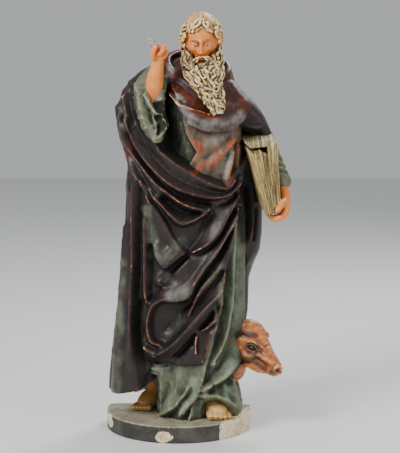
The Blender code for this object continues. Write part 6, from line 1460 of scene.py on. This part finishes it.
def smoothed(me, values, rounds):
    # values averaged over their neighbours, round after round
    a, b = read(me.edges, "vertices", 2, np.int64).T.copy()
    count = len(me.vertices)
    share = np.maximum(1, np.bincount(a, minlength=count) + np.bincount(b, minlength=count))
    out = values.copy()
    for _ in range(rounds):
        for k in range(out.shape[1]):
            col = out[:, k]
            total = np.bincount(a, weights=col[b], minlength=count) + np.bincount(b, weights=col[a],
                minlength=count)
            out[:, k] = 0.5 * col + 0.5 * total / share
    return out


def joined(parts):
    # every modelled body in one mesh, each face knowing its finish
    bm = bmesh.new()
    for part in parts:
        index = slotNames.index(part["slot"])
        part.data.polygons.foreach_set("material_index", [index] * len(part.data.polygons))
        bm.from_mesh(part.data)
    for part in parts:
        bpy.data.objects.remove(part)
    return bm


def largestOnly(bm):
    # drops every body but the one with the most corners
    seen, bodies = set(), []
    for first in bm.verts:
        if first in seen:
            continue
        seen.add(first)
        stack, body = [first], []
        while stack:
            v = stack.pop()
            body.append(v)
            for e in v.link_edges:
                w = e.other_vert(v)
                if w not in seen:
                    seen.add(w)
                    stack.append(w)
        bodies.append(body)
    for body in sorted(bodies, key=len)[:-1]:
        bmesh.ops.delete(bm, geom=body, context="VERTS")


def fusedGroup(parts, name, plan):
    # bodies made one skin on an even grid, thinned, with relief marks and finishes taken from the bodies
    bm = joined(parts)
    nearest = BVHTree.FromBMesh(bm)
    zoneOfFace = [f.material_index for f in bm.faces]
    ob = linked(name, meshOf(bm, name))
    fuse = ob.modifiers.new("fuse", "REMESH")
    fuse.mode = "VOXEL"
    fuse.voxel_size = plan["grain"] * mm
    me = evaluated(ob)
    points = read(me.vertices, "co", 3) / mm
    points = (1 - plan["even"]) * points + plan["even"] * smoothed(me, points, 2)
    me.vertices.foreach_set("co", (points * mm).ravel())
    me.update()
    # how far each point stands out of its surroundings, within about nearReach and wide
    normals = read(me.vertices, "normal", 3)
    nearReach = 4.5
    near = smoothed(me, points, int((nearReach / plan["grain"]) ** 2))
    wide = smoothed(me, near, plan["rounds"])
    for mark, values in (("fine", points - near), ("broad", points - wide)):
        layer = me.attributes.new(mark, "FLOAT", "POINT")
        layer.data.foreach_set("value", (values * normals).sum(1))
    grown = len(me.polygons)
    bm = bmesh.new()
    bm.from_mesh(me)
    bmesh.ops.triangulate(bm, faces=bm.faces)
    bm.to_mesh(me)
    bm.free()
    if len(me.polygons) > plan["budget"]:
        share = plan["share"](points)
        group = ob.vertex_groups.new(name="share")
        for value in np.unique(share):
            group.add([int(i) for i in np.nonzero(share == value)[0]], float(value), "REPLACE")
        fewer = ob.modifiers.new("fewer", "DECIMATE")
        fewer.ratio = plan["budget"] / len(me.polygons)
        fewer.vertex_group = "share"
        fewer.vertex_group_factor = 1.0
        me = evaluated(ob)
        ob.vertex_groups.clear()
    points = read(me.vertices, "co", 3) / mm
    zones = np.array([zoneOfFace[nearest.find_nearest(f.center)[2]] for f in me.polygons])
    corners = read(me.polygons, "vertices", 3, np.int64)
    for _ in range(plan["votes"]):
        # stray faces take the finish of most of their neighbours
        votes = np.zeros((len(points), len(slotNames)))
        for k in range(3):
            np.add.at(votes, (corners[:, k], zones), 1)
        zones = (votes[corners[:, 0]] + votes[corners[:, 1]] + votes[corners[:, 2]]).argmax(1)
    height, facing = read(me.polygons, "center", 3)[:, 2] / mm, read(me.polygons, "normal", 3)[:, 2]
    slabTop, groundTop = 31.8, 33.6
    zones[(height < groundTop) & (facing > 0.6) | (height < slabTop)] = slotNames.index("base")
    for slot in slotNames:
        me.materials.append(finishes[slot])
    me.polygons.foreach_set("material_index", zones.astype(np.int32))
    print(name, "fused", grown, "thinned", len(me.polygons), "%.0f s" % (time.time() - began))
    return ob


def clothShare(p):
    out = np.full(len(p), 0.6)
    out[p[:, 1] > 30] = 1.0
    return out


def detailShare(p):
    x, y, z = p[:, 0], p[:, 1], p[:, 2]
    out = np.full(len(p), 0.5)
    out[(z > 606) & (x > -20) & (x < 100) & (y < 30)] = 0.25
    out[(z > 708) & (x > 4) & (x < 80) & (y < -20)] = 0.08
    out[(y > 40) | ((z < 220) & (x < 110))] = 1.0
    out[(z < 62) & (y < 40)] = 0.5
    return out


clothPlan = dict(grain=1.35, even=0.35, rounds=75, votes=3,
    budget=108000, share=clothShare)
detailPlan = dict(grain=0.9, even=0.1, rounds=60, votes=3,
    budget=92000, share=detailShare)
detailSlots = ("skin", "stump", "hair", "beard", "brow", "eye", "iris", "ox", "oxEye", "book", "bookTop",
    "foot")

for model in (base, tunic, cloak, fall, cape, habit, rightArm, leftArm, book, feet, ox, face, eyesAndEars,
    hair, beard, moustache):
    model()
print("modelled", len(made), "bodies, %.0f s" % (time.time() - began))
clothParts = [ob for ob in made if ob["slot"] not in detailSlots]
detailParts = [ob for ob in made if ob["slot"] in detailSlots]
statue = fusedGroup(clothParts, "statuePainted", clothPlan)
details = fusedGroup(detailParts, "details", detailPlan)
union = statue.modifiers.new("details", "BOOLEAN")
union.operation, union.solver, union.object, union.material_mode = "UNION", "MANIFOLD", details, "TRANSFER"
me = evaluated(statue)
bpy.data.objects.remove(details)
print("joined", len(me.polygons), "faces, %.0f s" % (time.time() - began))

# flat underside, crumbs dropped
bm = bmesh.new()
bm.from_mesh(me)
bmesh.ops.bisect_plane(bm, geom=bm.verts[:] + bm.edges[:] + bm.faces[:], plane_co=(0, 0, 0),
    plane_no=(0, 0, -1), clear_outer=True)
bmesh.ops.holes_fill(bm, edges=[e for e in bm.edges if e.is_boundary], sides=0)
largestOnly(bm)
bmesh.ops.triangulate(bm, faces=[f for f in bm.faces if len(f.verts) > 3])
bmesh.ops.recalc_face_normals(bm, faces=bm.faces)
bm.to_mesh(me)
bm.free()
me.polygons.foreach_set("use_smooth", [True] * len(me.polygons))
points = read(me.vertices, "co", 3) / mm
print("statue", len(me.polygons), "faces, %.0f s" % (time.time() - began))


def store(name, values):
    layer = me.attributes.new(name, "FLOAT", "POINT")
    layer.data.foreach_set("value", np.asarray(values, float))


def along(strokes, fade, spread=1.0):
    # 1 near lines drawn over the front, falling to 0; a stroke is its width, then x, z, x, z ...
    out = np.zeros(len(points))
    for width, *places in strokes:
        c = curveThrough(np.array(places, float).reshape(-1, 2), 2.0)
        reach = width * spread + fade
        near = (points[:, ::2] > c.min(0) - reach).all(1) & (points[:, ::2] < c.max(0) + reach).all(1)
        some = np.nonzero(near & (points[:, 1] < 20))[0]
        d = np.full(len(some), 1e9)
        for a, b in c:
            d = np.minimum(d, (points[some, 0] - a) ** 2 + (points[some, 2] - b) ** 2)
        out[some] = np.maximum(out[some], np.clip(1 - (np.sqrt(d) - width * spread / 2) / fade, 0, 1))
    return out


def sheltered(rays, reach):
    # share of the sky that nearby forms hide from each point
    bm = bmesh.new()
    bm.from_mesh(me)
    tree = BVHTree.FromBMesh(bm)
    bm.free()
    places = [v.co.copy() for v in me.vertices]
    ways = [v.normal.copy() for v in me.vertices]
    turns, goldenAngle = [], 2.39996
    for k in range(rays):
        a, up = goldenAngle * k, 1 - (k + 0.5) / rays * 0.9
        turns.append(Vector((math.cos(a) * math.sqrt(1 - up * up), math.sin(a) * math.sqrt(1 - up * up),
            up)))
    out = np.zeros(len(places))
    zAxis, lift = Vector((0, 0, 1)), 0.8 * mm
    for i, (p, n) in enumerate(zip(places, ways)):
        spin = zAxis.rotation_difference(n)
        start = p + n * lift
        for t in turns:
            if tree.ray_cast(start, spin @ t, reach * mm)[0] is not None:
                out[i] += 1
    return out / rays


# how shut in each point is, read by the finishes to lay painted shade in the hollows
store("hollow", smoothed(me, sheltered(rays=12, reach=60)[:, None], rounds=1)[:, 0])
print("hollows found, %.0f s" % (time.time() - began))

store("blush", along(((10, 28, 722, 32, 718), (10, 64, 722, 60, 718), (8, -40, 626, -44, 650),
    (6, -30, 734, -26, 722)), 8) * 0.5)
store("crest", along([(2.0, *line[::2].ravel()) for line in crests], 7.0))
store("pupil", np.max([1 - np.linalg.norm(points - place, axis=1) / 6.0 for place in pupils],
    axis=0).clip(0, 1))
# worn edges: the habit's open side, the cape's fold, the turned corner of the cloak and its lining
seams = ((17, 572, 26, 555, 35, 542, 24, 524), (-3, 648, 1, 632, 17, 626, 43, 619, 59, 613),
    (-98, 648, -110, 630), (116, 625, 129, 637), (116, 590, 140, 585, 155, 585),
    (67, 242, 68, 227, 47, 217, 35, 205, 32, 186, 33, 165), (96, 572, 74, 544, 50, 524))
store("seam", along([(0.0, *places) for places in seams], 5.0))
# share of the way from the book's near cover to its far one
z = points[:, 2]
left, right = 134 + 0.285 * (546 - z), 182 + 0.045 * (556 - z)
store("leaf", (points[:, 0] - left) / np.maximum(right - left, 4))
# lines of pale patches over the front, partly grey paint and partly painted light and sheen
paleAndPaintedLightLines = ((34, 2, 618, 26, 602, 60, 594, 92, 594, 114, 606), (10, 0, 640, 16, 622),
    (16, -44, 352, -26, 344, -10, 362, 8, 380), (10, -44, 372, -52, 410, -56, 440),
    (18, 76, 330, 50, 300, 20, 282, -16, 274), (6, -66, 250, -70, 190, -72, 120),
    (40, -124, 60, -120, 150, -116, 240, -110, 330), (12, 96, 540, 88, 500), (10, 54, 560, 90, 572),
    (10, 30, 110, 22, 74, 6, 50), (5, 86, 300, 70, 200, 52, 130), (12, 108, 400, 108, 300, 104, 210),
    (5, -104, 620, -98, 590), (14, -14, 690, -4, 714, 6, 722), (16, 102, 140, 94, 102, 90, 74),
    (24, -56, 62, -68, 54, -82, 44), (14, 64, 50, 80, 46))
boleLines = ((9, 30, 562, 44, 552, 38, 540), (7, 104, 562, 84, 544, 58, 516),
    (5, 104, 520, 96, 494, 90, 482), (4, 112, 556, 110, 540), (8, 46, 520, 30, 506),
    (8, -4, 470, 14, 462, 28, 452), (8, -12, 690, -8, 680), (8, 2, 660, 30, 640), (4, 40, 612, 66, 606),
    (7, 86, 214, 70, 196, 56, 176), (3, -90, 560, -86, 530), (6, 112, 630, 122, 640),
    (3, -100, 560, -96, 530), (5, 92, 590, 110, 604))
shadowLines = ((12, -50, 152, -20, 178, 10, 212), (16, 116, 470, 120, 420, 126, 372),
    (26, -30, 626, -18, 590, -8, 550), (12, -80, 215, -74, 160, -68, 104),
    (18, 122, 500, 134, 450, 140, 380), (12, -14, 600, 0, 560, 4, 530), (8, -80, 320, -78, 260, -80, 215),
    (5, 126, 166, 133, 173, 143, 174, 152, 168, 154, 162, 144, 158, 132, 160),
    (4, 122, 146, 138, 142, 154, 134, 164, 126), (3, 112, 190, 128, 192, 146, 190),
    (7, 98, 104, 108, 124, 118, 134), (3, 150, 118, 166, 108), (3, 176, 122, 182, 118))
front = ((30 - points[:, 1]) / 50).clip(0, 1)
store("shadow", along(shadowLines, 10, 0.5))
store("pale", along(paleAndPaintedLightLines, 16, 0.4) * front)
store("bole", along(boleLines, 10, 0.4) * front)

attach(statue, "root")
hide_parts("statue")

stageLooks = dict(floor=shade((222, 223, 222)), wall=shade((206, 208, 210)), key=68.0, fill=15.0, rim=32.0,
    air=0.72)

bm = bmesh.new()
bmesh.ops.create_grid(bm, x_segments=1, y_segments=1, size=4.0)
bmesh.ops.translate(bm, verts=bm.verts, vec=(0, 0, -0.0006))
floor = linked("floor", meshOf(bm, "floor"))
plain = bpy.data.materials.new("floorPaint")
plain.use_nodes = True
plainShader = plain.node_tree.nodes["Principled BSDF"].inputs
plainShader["Base Color"].default_value, plainShader["Roughness"].default_value = stageLooks["floor"], 0.7
floor.data.materials.append(plain)

world = bpy.data.worlds.new("studio")
world.use_nodes = True
air = world.node_tree.nodes["Background"].inputs
air["Color"].default_value, air["Strength"].default_value = stageLooks["wall"], stageLooks["air"]
bpy.context.scene.world = world


def softbox(name, place, target, size, power):
    lamp = bpy.data.lights.new(name, "AREA")
    lamp.shape, lamp.size, lamp.size_y, lamp.energy = "RECTANGLE", size, size, power
    ob = linked(name, lamp)
    ob.location = place
    ob.rotation_euler = (Vector(target) - Vector(place)).to_track_quat("-Z", "Y").to_euler()


softbox("keyLight", (-1.3, -1.5, 1.9), (0, 0, 0.45), 0.9, stageLooks["key"])
softbox("fillLight", (1.8, -1.4, 1.2), (0, 0, 0.4), 1.2, stageLooks["fill"])
softbox("rimLight", (0.9, 1.3, 1.8), (0, 0, 0.5), 0.8, stageLooks["rim"])

lens = bpy.data.cameras.new("camera")
longLens, downward = 143.28, 8.69
lens.sensor_fit, lens.sensor_width, lens.lens = "HORIZONTAL", 36, longLens
camera = linked("camera", lens)
camera.location = (0.041, -2.964, 0.85)
camera.rotation_euler = (math.radians(90 - downward), 0, 0)
bpy.context.scene.camera = camera
print("scene ready, %.0f s" % (time.time() - began))
